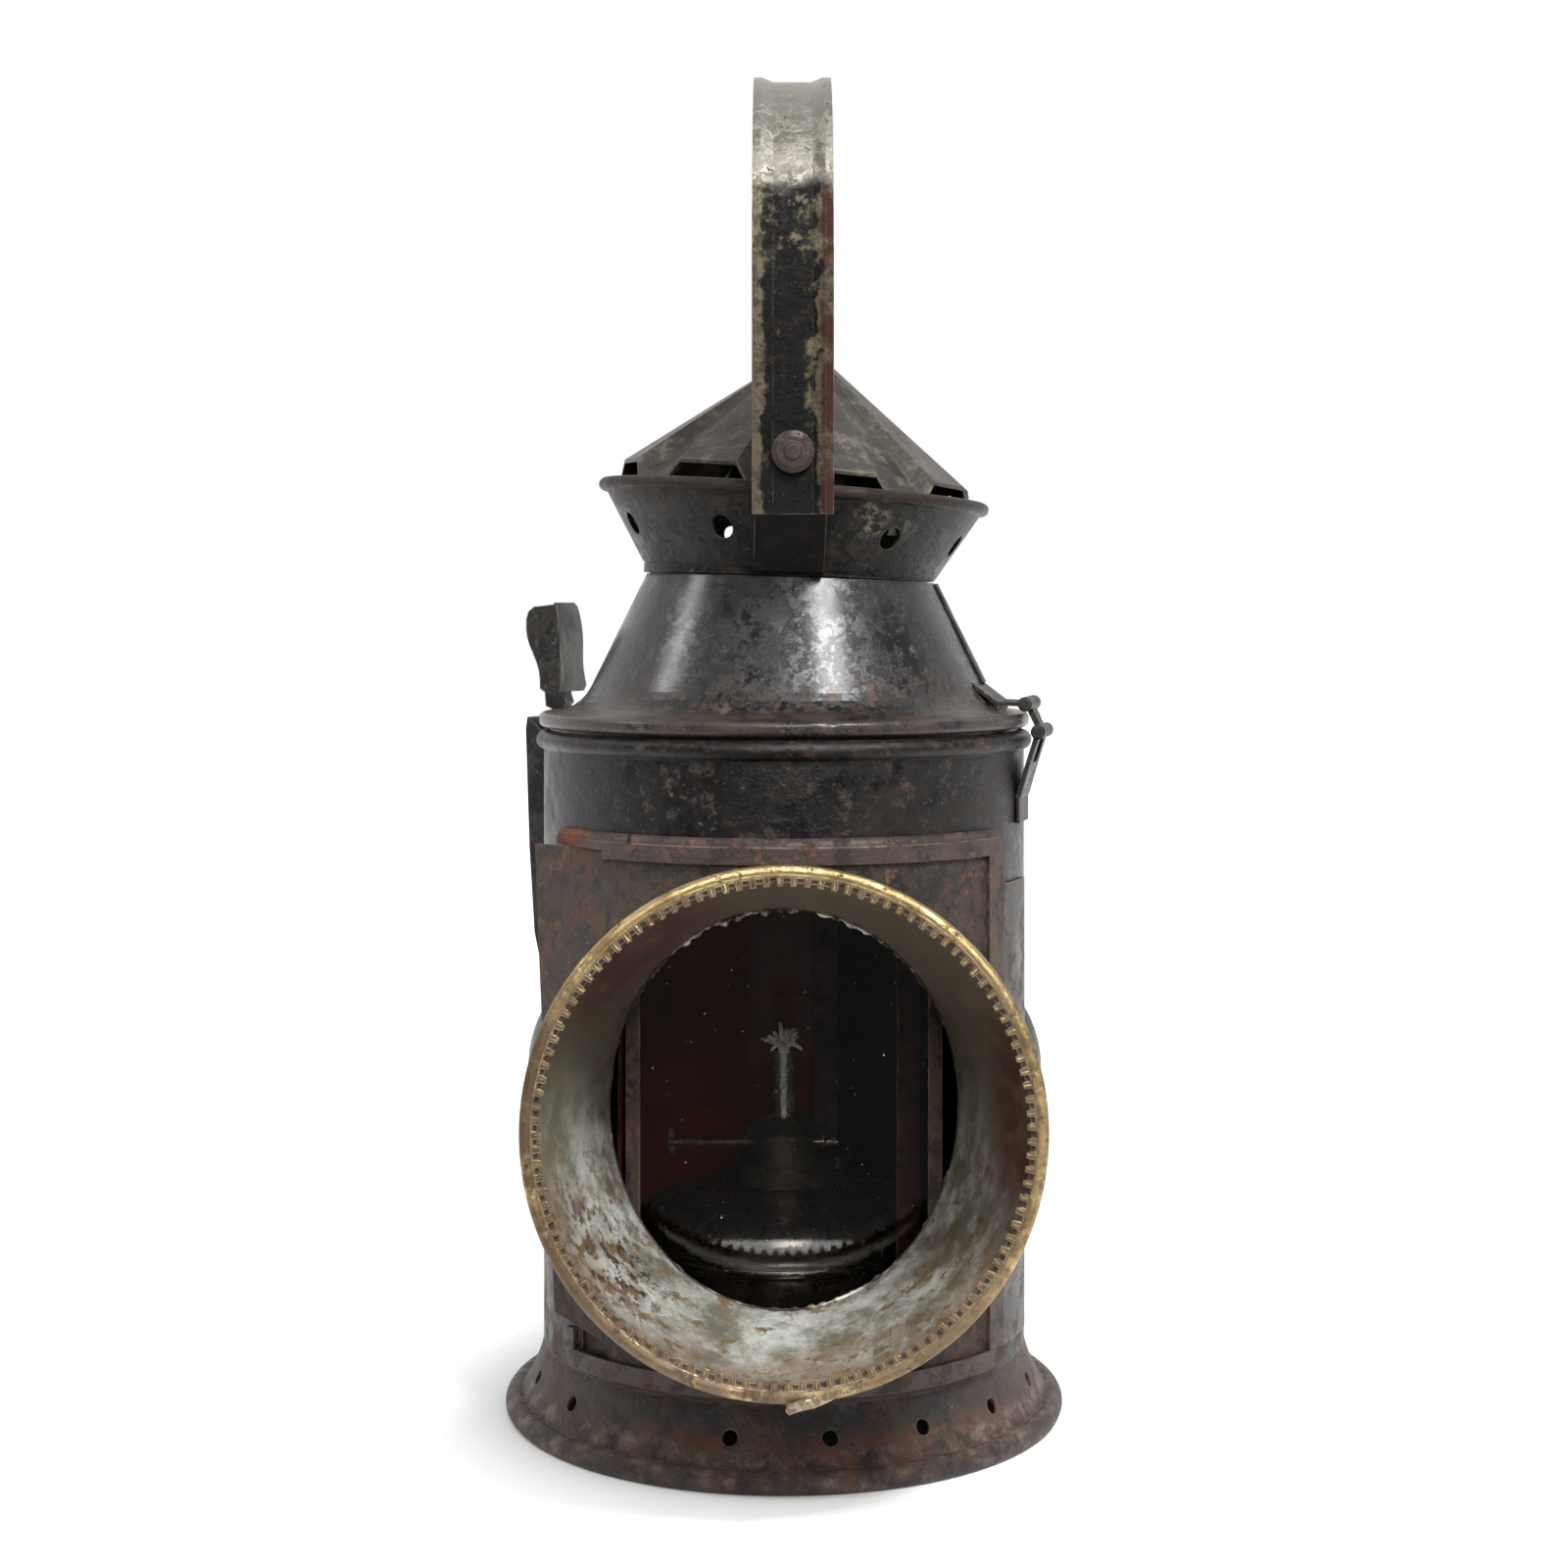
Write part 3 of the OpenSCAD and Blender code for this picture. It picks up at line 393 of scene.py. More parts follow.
# The body: one sheet rolled into a tube, lapped at the back and swaged at its mouth, in black
# stove paint outside. Inside it is bare tinned sheet that has browned.
body_bore = off_axis((0, 0, 0), "Z", 0.0569, 0.0567)
body_paint = old_metal("body_paint", srgb(23, 21, 20), 0.34, 0.0, [
    (srgb(36, 30, 26), 0.5, 0.0, 22, 0.42, 0.66),
    (srgb(13, 12, 12), 0.28, 0.0, 9, 0.44, 0.64),
    (srgb(70, 59, 49), 0.5, 0.05, 5, 0.55, 0.70),
    (srgb(84, 74, 62), 0.5, 0.1, 2.0, 0.60, 0.68),
    (srgb(80, 54, 42), 0.7, 0.0, 4, 0.58, 0.70, along("Z", 0.128, 0.150)),
    (srgb(108, 96, 84), 0.5, 0.2, 1.2, 0.67, 0.73),
    (srgb(72, 50, 40), 0.7, 0.0, 7, 0.42, 0.60, along("Z", 0.045, 0.018)),
    (srgb(122, 78, 64), 0.42, 0.3, 20, 0.0, 0.05, body_bore),
    (srgb(70, 46, 38), 0.6, 0.1, 12, 0.44, 0.66, body_bore),
], edge=(srgb(104, 92, 82), 0.4, 0.6, 0.0004), gloss=0.32)
dress(body_paint, "body_shell", "side_bosses")


# The front plate and the guides it was slid into: the paint has gone and the sheet is brown,
# most of all on the flat tab at the left and beside the right guide.
plate_rust_and_shadow = old_metal("plate_rust_and_shadow", srgb(56, 42, 33), 0.56, 0.0, [
    (srgb(28, 23, 20), 0.5, 0.0, 12, 0.42, 0.58),
    (srgb(84, 61, 46), 0.75, 0.0, 8, 0.38, 0.60, along("X", -0.028, -0.036)),
    # a thin dark vertical line beside the tab's edge: a painted shadow line along the tab
    (srgb(22, 18, 16), 0.6, 0.0, 8, 0.0, 0.05, between("X", -0.0400, -0.0395, -0.0391, -0.0386)),
    (srgb(98, 60, 40), 0.85, 0.0, 3, 0.54, 0.68, along("X", -0.036, -0.047)),
    (srgb(88, 58, 44), 0.8, 0.0, 5, 0.46, 0.62, along("X", 0.028, 0.043)),
    (srgb(66, 47, 38), 0.6, 0.0, 9, 0.48, 0.62),
    (srgb(106, 76, 56), 0.7, 0.0, 4.5, 0.54, 0.64),
    (srgb(24, 18, 16), 0.5, 0.0, 3.5, 0.50, 0.59),
    (srgb(116, 98, 84), 0.5, 0.1, 1.4, 0.61, 0.70),
], edge=(srgb(122, 98, 82), 0.5, 0.3, 0.0004), depth=0.00030)
dress(plate_rust_and_shadow, "front_plate")
guide_rust = old_metal("guide_rust", srgb(68, 55, 48), 0.5, 0.1, [
    (srgb(38, 29, 26), 0.6, 0.0, 6, 0.48, 0.60),
    (srgb(96, 68, 54), 0.7, 0.0, 4, 0.52, 0.64),
    (srgb(116, 62, 40), 0.9, 0.0, 3, 0.40, 0.55, near((-0.0505, -0.032, 0.1385), 0.012)),
    (soot, 0.6, 0.0, 1.6, 0.62, 0.68),
    (srgb(14, 10, 9), 0.8, 0.0, 5, 0.0, 0.05,
     all_of(along("Z", 0.1376, 0.1380), between("X", -0.0348, -0.0345, -0.0339, -0.0336))),
], edge=(srgb(138, 120, 106), 0.42, 0.5, 0.0004), depth=0.00018)
dress(guide_rust, "top_guide", "bottom_guide", "right_guide", "left_guide", "glass_channels")


# The wall patch: a strip of tinplate that was soldered over the right flank as a repair. It is
# grey where its paint is lost.
umber = srgb(54, 42, 35)
patch_tin = old_metal("patch_tin", srgb(40, 35, 32), 0.42, 0.0, [
    (srgb(104, 92, 82), 0.42, 0.4, 12, 0.50, 0.66),
    (umber, 0.65, 0.0, 5, 0.50, 0.66),
], edge=(srgb(176, 168, 156), 0.35, 0.8, 0.0004))
dress(patch_tin, "wall_patch")


# The hood: a cone of galvanised sheet, fitted to the plate and soldered. The zinc shows inside,
# stained and spotted with rust. It is pale and bluish low down and olive above, partly its own
# tone and partly painted light from above and painted shade under the top. It looks up a little.
hood_z, hood_tilt = 0.080, math.radians(5.9)
hood_axis, hood_foot = (0, 0, hood_z), (0, -0.05845, hood_z)
# the cone's slope, its inner radius level with the lamp's axis and the thickness of its sheet
hood_slope, hood_bore, hood_sheet = 0.29, 0.0263, 0.0008


def of_hood(mask):
    # a mask on the hood is read in a frame that is tilted with it
    def place_mask(tree, place):
        level = tree.nodes.new("ShaderNodeVectorRotate")
        level.rotation_type = "X_AXIS"
        level.inputs["Center"].default_value = hood_foot
        level.inputs["Angle"].default_value = hood_tilt
        tree.links.new(place, level.inputs["Vector"])
        return mask(tree, level.outputs[0])
    return place_mask


def in_cone(tree, place):
    # 1 on the inner side of the sheet: the radius is set against its middle's at that depth
    apart = tree.nodes.new("ShaderNodeSeparateXYZ")
    tree.links.new(place, apart.inputs[0])
    widening = math_of(tree, "MULTIPLY", apart.outputs["Y"], -hood_slope)
    wall = math_of(tree, "ADD", widening, hood_bore + hood_sheet / 2)
    radius = from_line(tree, place, hood_axis, "Y")
    return ramp(tree, math_of(tree, "SUBTRACT", wall, radius), -0.0001, 0.0001)


def inside(*masks):
    return of_hood(all_of(in_cone, *masks))


zinc_and_light = old_metal("hood_zinc_and_light", srgb(46, 36, 31), 0.6, 0.0, [
    (srgb(30, 26, 24), 0.5, 0.0, 14, 0.45, 0.60),
    (srgb(78, 58, 47), 0.7, 0.0, 5, 0.58, 0.70),
    (srgb(104, 98, 86), 0.5, 0.2, 2.2, 0.62, 0.70),
    (srgb(106, 104, 90), 0.42, 0.2, 20, 0.0, 0.05, inside()),
    # pale and bluish on the lower inside: partly the zinc's tone, partly painted light from above
    (srgb(206, 208, 200), 0.34, 0.3, 13, 0.36, 0.62,
     inside(along("Z", 0.100, 0.056), along("Y", -0.0875, -0.079))),
    # olive on the upper inside: partly stains, partly painted shade under the top
    (srgb(96, 84, 66), 0.45, 0.15, 24, 0.10, 0.40, inside(along("Z", 0.072, 0.110))),
    (srgb(152, 126, 106), 0.5, 0.2, 12, 0.38, 0.68,
     inside(along("Y", -0.066, -0.084), along("Z", 0.088, 0.056))),
    (srgb(116, 92, 60), 0.5, 0.15, 5, 0.53, 0.62, inside(along("Z", 0.090, 0.060))),
    (srgb(84, 44, 36), 0.5, 0.1, 16, 0.28, 0.50, inside(near((0.047, -0.082, 0.082), 0.030))),
    (srgb(80, 44, 36), 0.5, 0.1, 16, 0.28, 0.50, inside(near((-0.030, -0.074, 0.116), 0.026))),
    (srgb(120, 104, 80), 0.5, 0.15, 9, 0.50, 0.76, inside(), (1, 0.4, 1)),
    (srgb(100, 84, 62), 0.5, 0.15, 18, 0.40, 0.66,
     inside(along("X", 0.006, 0.030), along("Z", 0.100, 0.070))),
    (srgb(106, 76, 54), 0.7, 0.0, 2.2, 0.63, 0.70, inside()),
    (srgb(92, 66, 46), 0.7, 0.0, 5, 0.50, 0.58, inside(near((-0.033, -0.074, 0.056), 0.024))),
    (srgb(46, 28, 22), 0.8, 0.0, 3.0, 0.55, 0.58, inside(near((-0.031, -0.072, 0.055), 0.026))),
    (srgb(84, 70, 60), 0.55, 0.1, 7, 0.44, 0.66, inside(along("Y", -0.0600, -0.0500))),
], edge=(srgb(172, 166, 150), 0.38, 0.6, 0.0004), depth=0.00010)
dress(zinc_and_light, "hood")


# The solder seam: tinman's solder run round inside the cone where it meets the plate. It was
# dabbed on in short runs, so it is thick and bright in some places and a dark thread in others.
plate_r = 0.05835
seam_steps, seam_r, seam_lift = 420, 0.00030, 0.00012


def hood_point(turn, lift):
    # the point of the cone's inner face, at one angle round the hood, that lies on the plate,
    # found by halving the depth between one outside the plate and one inside it
    low, high = -0.075, -0.030
    for _ in range(40):
        y = (low + high) / 2
        r = hood_bore - hood_slope * y - lift
        level = Vector((r * math.cos(turn), y, hood_z + r * math.sin(turn))) - Vector(hood_foot)
        place = Matrix.Rotation(-hood_tilt, 3, "X") @ level + Vector(hood_foot)
        if math.hypot(place.x, place.y) > plate_r:
            low = y
        else:
            high = y
    return place


seam = bpy.data.curves.new("solder_seam", "CURVE")
seam.dimensions = "3D"
seam.bevel_depth = seam_r
seam.bevel_resolution = 2
run = seam.splines.new("POLY")
run.use_cyclic_u = True
run.points.add(seam_steps - 1)
for k in range(seam_steps):
    turn = 2 * math.pi * k / seam_steps
    # long dabs with crumbs on them, heaped at the top and a little right of the bottom
    dab = noise.noise(Vector((9 * math.cos(turn), 9 * math.sin(turn), 3.1)))
    crumb = noise.noise(Vector((30 * math.cos(turn), 30 * math.sin(turn), 8.7)))
    heaped = max(math.cos(turn - math.radians(100)) - 0.55, 0.0) * 2.4
    heaped += max(math.cos(turn - math.radians(284)) - 0.93, 0.0) * 14
    wide = 0.7 + 2.0 * max(dab - 0.10, 0.0) + heaped * max(crumb + 0.35, 0.0) * 2.2 + 0.8 * crumb
    wide = max(0.35, wide)
    run.points[k].co = tuple(hood_point(turn, seam_lift * wide)) + (1.0,)
    run.points[k].radius = wide
solder_seam = bpy.data.objects.new("solder_seam", seam)
bpy.context.scene.collection.objects.link(solder_seam)
bpy.ops.object.select_all(action="DESELECT")
bpy.context.view_layer.objects.active = solder_seam
solder_seam.select_set(True)
bpy.ops.object.convert(target="MESH")
bpy.ops.object.shade_smooth()
bright_tin = srgb(206, 200, 190)
solder_seam.data.materials.append(old_metal("solder", srgb(52, 42, 36), 0.55, 0.2, [
    (srgb(150, 144, 130), 0.4, 0.6, 5, 0.56, 0.64),
    (bright_tin, 0.34, 0.7, 5, 0.44, 0.54, of_hood(along("Z", 0.112, 0.118))),
    (bright_tin, 0.34, 0.7, 5, 0.44, 0.54,
     of_hood(all_of(along("Z", 0.045, 0.040), along("X", 0.004, 0.010)))),
], grain=2400, depth=0.00008))
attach(solder_seam, "lamp_body")


# The rim: brass strip rolled over the hood's edge and crimped into small teeth inside it.
# Handling keeps the bead bright, and the teeth and the hollows between them are brown.
teeth = off_axis(hood_axis, "Y", 0.0519, 0.0516)
gaps = all_of(off_axis(hood_axis, "Y", 0.0521, 0.0518), along("Y", -0.09085, -0.0906))
rim_brass = old_metal("rim_brass", srgb(196, 172, 124), 0.34, 1.0, [
    (srgb(146, 124, 88), 0.45, 1.0, 9, 0.42, 0.60),
    (srgb(98, 80, 60), 0.5, 0.7, 10, 0.26, 0.48,
     of_hood(all_of(along("Z", 0.116, 0.096), along("X", -0.010, -0.036)))),
    (srgb(108, 90, 70), 0.5, 0.7, 7, 0.28, 0.50, of_hood(along("Z", 0.050, 0.040))),
    (srgb(120, 100, 76), 0.45, 0.8, 7, 0.40, 0.60,
     of_hood(all_of(along("Z", 0.110, 0.090), along("X", 0.010, 0.036)))),
    (srgb(84, 68, 50), 0.6, 0.5, 3.0, 0.54, 0.66),
    (srgb(60, 50, 40), 0.6, 0.4, 1.4, 0.60, 0.68),
    (srgb(108, 87, 70), 0.45, 0.5, 8, 0.0, 0.05, of_hood(teeth)),
    (srgb(82, 66, 51), 0.42, 0.6, 2.0, 0.54, 0.66, of_hood(teeth)),
    (srgb(80, 62, 50), 0.5, 0.3, 8, 0.0, 0.05, of_hood(gaps)),
], edge=(srgb(220, 202, 156), 0.30, 1.0, 0.0003), depth=0.00010)
dress(rim_brass, "brass_rim")


# The crimps: the strip was folded in over the sheet and pinched about every three millimetres,
# which left a sharp bright ridge between one tooth and the next.
rim_teeth = 112
crimp_y, crimp_r, crimp_tall = -0.09098, 0.05062, 0.0018
crimp_seed = random.Random(23)
bpy.ops.object.select_all(action="DESELECT")
bpy.ops.mesh.primitive_cone_add(vertices=3, radius1=0.00060, radius2=0.00012, depth=crimp_tall,
                                rotation=(0, 0, math.radians(180)))
bpy.ops.object.transform_apply(location=False, rotation=True, scale=True)
ridge = bpy.context.object
ridges = []
for k in range(rim_teeth):
    copy = bpy.data.objects.new("ridge", ridge.data.copy())
    bpy.context.scene.collection.objects.link(copy)
    turn = 2 * math.pi * (k + 0.29 + crimp_seed.uniform(-0.07, 0.07)) / rim_teeth
    # from 0 at the top of the rim to 1 at its bottom, where the ridges are shorter
    low = 0.5 - 0.5 * math.sin(turn)
    onto_rim = (Matrix.Translation(hood_foot) @ Matrix.Rotation(-hood_tilt, 4, "X")
                @ Matrix.Translation((0, crimp_y - hood_foot[1], 0))
                @ Matrix.Rotation(math.pi / 2 - turn, 4, "Y")
                @ Matrix.Translation((0, 0, crimp_r + crimp_seed.uniform(-0.0001, 0.0001)))
                @ Matrix.Diagonal((crimp_seed.uniform(0.8, 1.25), 1.0, 1.0 - 0.25 * low, 1)))
    copy.data.transform(onto_rim)
    ridges.append(copy)
bpy.data.objects.remove(ridge)
bpy.ops.object.select_all(action="DESELECT")
for copy in ridges:
    copy.select_set(True)
bpy.context.view_layer.objects.active = ridges[0]
bpy.ops.object.join()
rim_crimps = bpy.context.object
rim_crimps.name = "rim_crimps"
rim_crimps.data.materials.clear()
rim_crimps.data.materials.append(old_metal("crimp_brass", srgb(238, 222, 174), 0.30, 1.0, [
    (srgb(120, 100, 72), 0.45, 0.8, 6, 0.46, 0.60),
    (srgb(196, 176, 132), 0.36, 0.9, 9, 0.40, 0.60, of_hood(along("Z", 0.110, 0.070))),
], grain=2400, depth=0.00003, soften=0.00015))
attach(rim_crimps, "lamp_body")


# The strip's end: where the brass strip of the rim closes, under the hood, its end has sprung
# loose and hangs below the bead, torn at the tip.
strip_long, strip_wide, strip_thick = 0.0122, 0.0023, 0.00035
bpy.ops.object.select_all(action="DESELECT")
bpy.ops.mesh.primitive_grid_add(x_subdivisions=22, y_subdivisions=4, size=1,
                                rotation=(math.radians(90), 0, 0))
strip_end = bpy.context.object
strip_end.name = "strip_end"
strip_end.scale = (strip_long, strip_wide, 1)
bpy.ops.object.transform_apply(location=False, rotation=True, scale=True)
for corner in strip_end.data.vertices:
    # 0 at the root, which is bent back under the bead, and 1 at the torn tip, which is bent out
    t = 0.5 - corner.co.x / strip_long
    corner.co.y += 0.0011 * (1 - t) ** 2 - 0.0007 * t * t
    crinkle = noise.noise(Vector((t * 6, corner.co.z * 900, 1.7)))
    corner.co.z += 0.00022 * math.sin(9 * t) + 0.00016 * crinkle
    if t > 0.93:
        corner.co.x += 0.0009 * noise.noise(Vector((corner.co.z * 1400, 4.2, 0.3)))
strip_end.rotation_euler = (math.radians(14), math.radians(-15), 0)
strip_end.location = (0.0066, -0.0966, 0.0304)
bpy.ops.object.transform_apply(location=True, rotation=True, scale=True)
gauge = strip_end.modifiers.new("gauge", "SOLIDIFY")
gauge.thickness = strip_thick
gauge.offset = 0
bpy.ops.object.modifier_apply(modifier="gauge")
bpy.ops.object.mode_set(mode="EDIT")
bpy.ops.mesh.select_all(action="SELECT")
bpy.ops.mesh.normals_make_consistent(inside=False)
bpy.ops.object.mode_set(mode="OBJECT")
strip_end.data.materials.append(old_metal("strip_end", srgb(150, 134, 112), 0.36, 0.9, [
    (srgb(96, 78, 64), 0.5, 0.5, 3, 0.44, 0.58),
    (srgb(204, 192, 166), 0.32, 1.0, 2, 0.56, 0.64),
], edge=(srgb(226, 210, 176), 0.30, 1.0, 0.0003), depth=0.00006, soften=0.0002))
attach(strip_end, "lamp_body")


# The window: a pane of clear sheet glass, slid into two folded channels behind the plate. A thin
# film of soot and grease lies on it in patches.
def glass(name, colour, rough, haze_span, through=1.0):
    material, tree, shader = new_material(name)
    shader.inputs["Transmission Weight"].default_value = through
    shader.inputs["IOR"].default_value = 1.5
    place = tree.nodes.new("ShaderNodeTexCoord").outputs["Object"]
    film = group_node(tree, patches, Grain=60.0, Low=0.35, High=0.75)
    tree.links.new(place, film.inputs["Place"])
    filmed = tuple(c * 0.82 for c in colour[:3]) + (1.0,)
    tint = mixed(tree, "RGBA", film.outputs["Mask"], colour, filmed)
    tree.links.new(tint, shader.inputs["Base Color"])
    haze = spread(tree, film.outputs["Mask"], 0.0, 1.0, rough, rough + haze_span)
    tree.links.new(haze, shader.inputs["Roughness"])
    return material


dress(glass("window_glass", (0.93, 0.95, 0.94, 1.0), 0.0, 0.003), "front_glass")


# The dust: specks of pale grit that have stuck to the outside of the window pane, most of them
# as fine as a hair.
dust_seed = random.Random(41)
dust_specks, pane_front = 84, -0.04492
bpy.ops.object.select_all(action="DESELECT")
specks = []
for _ in range(dust_specks):
    size = 0.00007 + 0.00013 * dust_seed.random() ** 4
    bpy.ops.mesh.primitive_ico_sphere_add(subdivisions=1, radius=size, location=(
        dust_seed.uniform(-0.031, 0.031), pane_front, dust_seed.uniform(0.036, 0.124)))
    specks.append(bpy.context.object)
    specks[-1].scale = (1.0, 0.4, dust_seed.uniform(0.7, 1.5))
for speck in specks:
    speck.select_set(True)
bpy.ops.object.join()
window_dust = bpy.context.object
window_dust.name = "window_dust"
bpy.ops.object.transform_apply(location=True, rotation=True, scale=True)
window_dust.data.materials.clear()
window_dust.data.materials.append(old_metal("window_dust", srgb(214, 208, 196), 0.9, 0.0, [
    (srgb(150, 140, 126), 0.9, 0.0, 6, 0.44, 0.60),
], grain=6000, depth=0.00002, soften=0.00005))
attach(window_dust, "lamp_body")


# The signal panes: red and green sheet glass, slid between the posts of the drum. Soot has made
# them hazy, and only part of the light goes through.
dress(glass("red_glass", srgb(162, 30, 24), 0.05, 0.05, 0.55), "red_glass")
dress(glass("green_glass", srgb(20, 96, 70), 0.05, 0.05, 0.85), "green_glass")


# The thumb catch: a lever of steel strip that swings on a pin in a folded sleeve on the left
# flank. Paint is left in its hollows. Its inner leaf is lighter grey and its edges are light,
# partly where thumbs have rubbed them and partly as painted highlight where they face the lamps.
# the inner, upper leaf: rubbed steel, and painted lighter as if lit while the outer leaf is in
# shade
rubbed_and_lit_leaf = all_of(along("X", -0.0562, -0.0554), along("Z", 0.1688, 0.1692))
strip_steel_and_light = old_metal("strip_steel_and_light", srgb(54, 50, 46), 0.4, 0.35, [
    (srgb(28, 26, 25), 0.42, 0.0, 7, 0.44, 0.60),
    (srgb(88, 80, 70), 0.48, 0.3, 3.5, 0.54, 0.68),
    (rust, 0.75, 0.0, 3, 0.60, 0.68),
    (srgb(168, 156, 136), 0.6, 0.1, 1.4, 0.63, 0.69),
    (srgb(106, 104, 99), 0.36, 0.4, 20, 0.0, 0.05, rubbed_and_lit_leaf),
    (srgb(74, 70, 66), 0.44, 0.3, 7, 0.46, 0.66, rubbed_and_lit_leaf),
], edge=(srgb(184, 178, 166), 0.32, 0.8, 0.0006))
dress(strip_steel_and_light, "catch_lever", "catch_spring", "catch_pivot_pin")
sleeve_paint = old_metal("sleeve_paint", srgb(28, 26, 26), 0.42, 0.0, [
    (srgb(52, 48, 44), 0.5, 0.1, 6, 0.48, 0.64),
    (umber, 0.7, 0.0, 4, 0.58, 0.68),
    (srgb(120, 112, 100), 0.55, 0.1, 1.4, 0.62, 0.69),
], edge=(srgb(104, 96, 88), 0.4, 0.6, 0.0004))
dress(sleeve_paint, "catch_sleeve")


# The link hinge: two straps of steel strip, soldered to body and lid, with a short link and two
# riveted pins between them. The steel is bare, greasy and dark.
hinge_steel = old_metal("hinge_steel", srgb(44, 39, 35), 0.42, 0.3, [
    (srgb(26, 23, 21), 0.5, 0.1, 5, 0.42, 0.58),
    (srgb(98, 74, 58), 0.7, 0.1, 3, 0.58, 0.68),
], edge=(srgb(128, 120, 110), 0.34, 0.8, 0.0003))
dress(hinge_steel, "hinge_body_strap", "hinge_lower_pin", "hinge_link", "hinge_lid_strap",
      "hinge_upper_pin")


# The lid: a cone in the last good gloss of the black paint, browned along its flange and peppered
# with rust. The collar under it drops inside the body's mouth.
lid_x = 0.001
lid_paint = old_metal("lid_paint", srgb(15, 15, 16), 0.23, 0.0, [
    (srgb(28, 24, 23), 0.34, 0.0, 16, 0.50, 0.66),
    (srgb(10, 10, 11), 0.20, 0.0, 6, 0.48, 0.60),
    (srgb(26, 23, 22), 0.46, 0.0, 9, 0.32, 0.66, along("Z", 0.186, 0.194)),
    (srgb(78, 60, 53), 0.5, 0.0, 2.2, 0.59, 0.68),
    (srgb(42, 33, 30), 0.4, 0.0, 6, 0.56, 0.68,
     all_of(along("X", 0.040, 0.010), between("Z", 0.166, 0.174, 0.186, 0.196))),
    (srgb(92, 76, 68), 0.6, 0.0, 6, 0.58, 0.70, along("Z", 0.190, 0.178)),
    (srgb(78, 58, 46), 0.6, 0.0, 3, 0.46, 0.72, between("Z", 0.1655, 0.1675, 0.1715, 0.1765)),
    (srgb(66, 54, 48), 0.45, 0.15, 8, 0.32, 0.60, along("Z", 0.1680, 0.1655)),
    (srgb(116, 108, 100), 0.4, 0.3, 1.0, 0.66, 0.73),
    (srgb(46, 36, 31), 0.6, 0.1, 20, 0.0, 0.05,
     all_of(along("Z", 0.1972, 0.1976), off_axis((lid_x, 0, 0), "Z", 0.0352, 0.0348))),
], edge=(srgb(120, 108, 100), 0.36, 0.7, 0.0005), gloss=0.42, shine=0.3)
dress(lid_paint, "lid_cone", "lid_collar")


# The strap's leaf: the hinge strap of the lid runs on up the cone to the neck as a narrow leaf of
# the same steel. It is bent to the cone, so it is drawn from the cone's radius at one height.
cone_z, cone_r, cone_slope = 0.17104, 0.04719, 0.4927
leaf_z, leaf_tall, leaf_lift, leaf_thick = 0.1722, 0.0234, 0.00042, 0.0007
bpy.ops.object.select_all(action="DESELECT")
bpy.ops.mesh.primitive_grid_add(x_subdivisions=8, y_subdivisions=26, size=1)
strap_leaf = bpy.context.object
strap_leaf.name = "strap_leaf"
for corner in strap_leaf.data.vertices:
    across, up = corner.co.x + 0.5, corner.co.y + 0.5
    corner_z = leaf_z + leaf_tall * up
    corner_r = cone_r - cone_slope * (corner_z - cone_z) + leaf_lift
    corner_r += 0.00010 * noise.noise(Vector((across * 2, up * 7, 5.2)))
    turn = math.radians(77.0 + 1.5 * up + 8.0 * across)
    corner.co = (lid_x + corner_r * math.sin(turn), -corner_r * math.cos(turn), corner_z)
lap = strap_leaf.modifiers.new("lap", "SOLIDIFY")
lap.thickness = leaf_thick
lap.offset = 0
bpy.ops.object.modifier_apply(modifier="lap")
worn_lap = strap_leaf.modifiers.new("worn", "BEVEL")
worn_lap.width = 0.00015
worn_lap.segments = 2
worn_lap.limit_method = "ANGLE"
worn_lap.angle_limit = math.radians(50)
bpy.ops.object.modifier_apply(modifier="worn")
bpy.ops.object.mode_set(mode="EDIT")
bpy.ops.mesh.select_all(action="SELECT")
bpy.ops.mesh.normals_make_consistent(inside=False)
bpy.ops.object.mode_set(mode="OBJECT")
strap_leaf.data.materials.append(hinge_steel)
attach(strap_leaf, "lid")


# The crown: it turns on the lid's neck. Its paint has gone dull and mottled, with pale
# corrosion round two of its holes at the right, and bare brown sheet inside.
def ragged(mask, reach, size):
    # the same place pushed about by noise, so that a border of paint runs unevenly
    def place_mask(tree, place):
        stir = noise_of(tree, place, 1000.0 / size, 6, 0.65)
        pushed = vector_of(tree, "MULTIPLY_ADD", stir.outputs["Color"], (reach,) * 3, place)
        back = vector_of(tree, "SUBTRACT", pushed.outputs["Vector"], (reach / 2,) * 3)
        return mask(tree, back.outputs["Vector"])
    return place_mask


crown_paint = old_metal("crown_paint", srgb(18, 17, 16), 0.38, 0.0, [
    (srgb(50, 46, 42), 0.45, 0.1, 8, 0.46, 0.64),
    (srgb(11, 10, 10), 0.30, 0.0, 5, 0.48, 0.58),
    (srgb(74, 68, 61), 0.45, 0.2, 2.4, 0.58, 0.66),
    (srgb(82, 62, 50), 0.7, 0.0, 2.4, 0.60, 0.70),
    (srgb(128, 122, 104), 0.7, 0.0, 2.2, 0.48, 0.57,
     ragged(near((0.0205, -0.0400, 0.2092), 0.0066), 0.006, 5)),
    (srgb(120, 116, 100), 0.7, 0.0, 2.2, 0.48, 0.57,
     ragged(near((0.0292, -0.0345, 0.2062), 0.0050), 0.005, 5)),
    (srgb(120, 112, 96), 0.6, 0.1, 1.2, 0.64, 0.70),
    (srgb(50, 39, 34), 0.5, 0.1, 6, 0.30, 0.60, along("Z", 0.2128, 0.2150)),
], edge=(srgb(104, 92, 80), 0.4, 0.5, 0.0004), gloss=0.2)
dress(crown_paint, "crown")


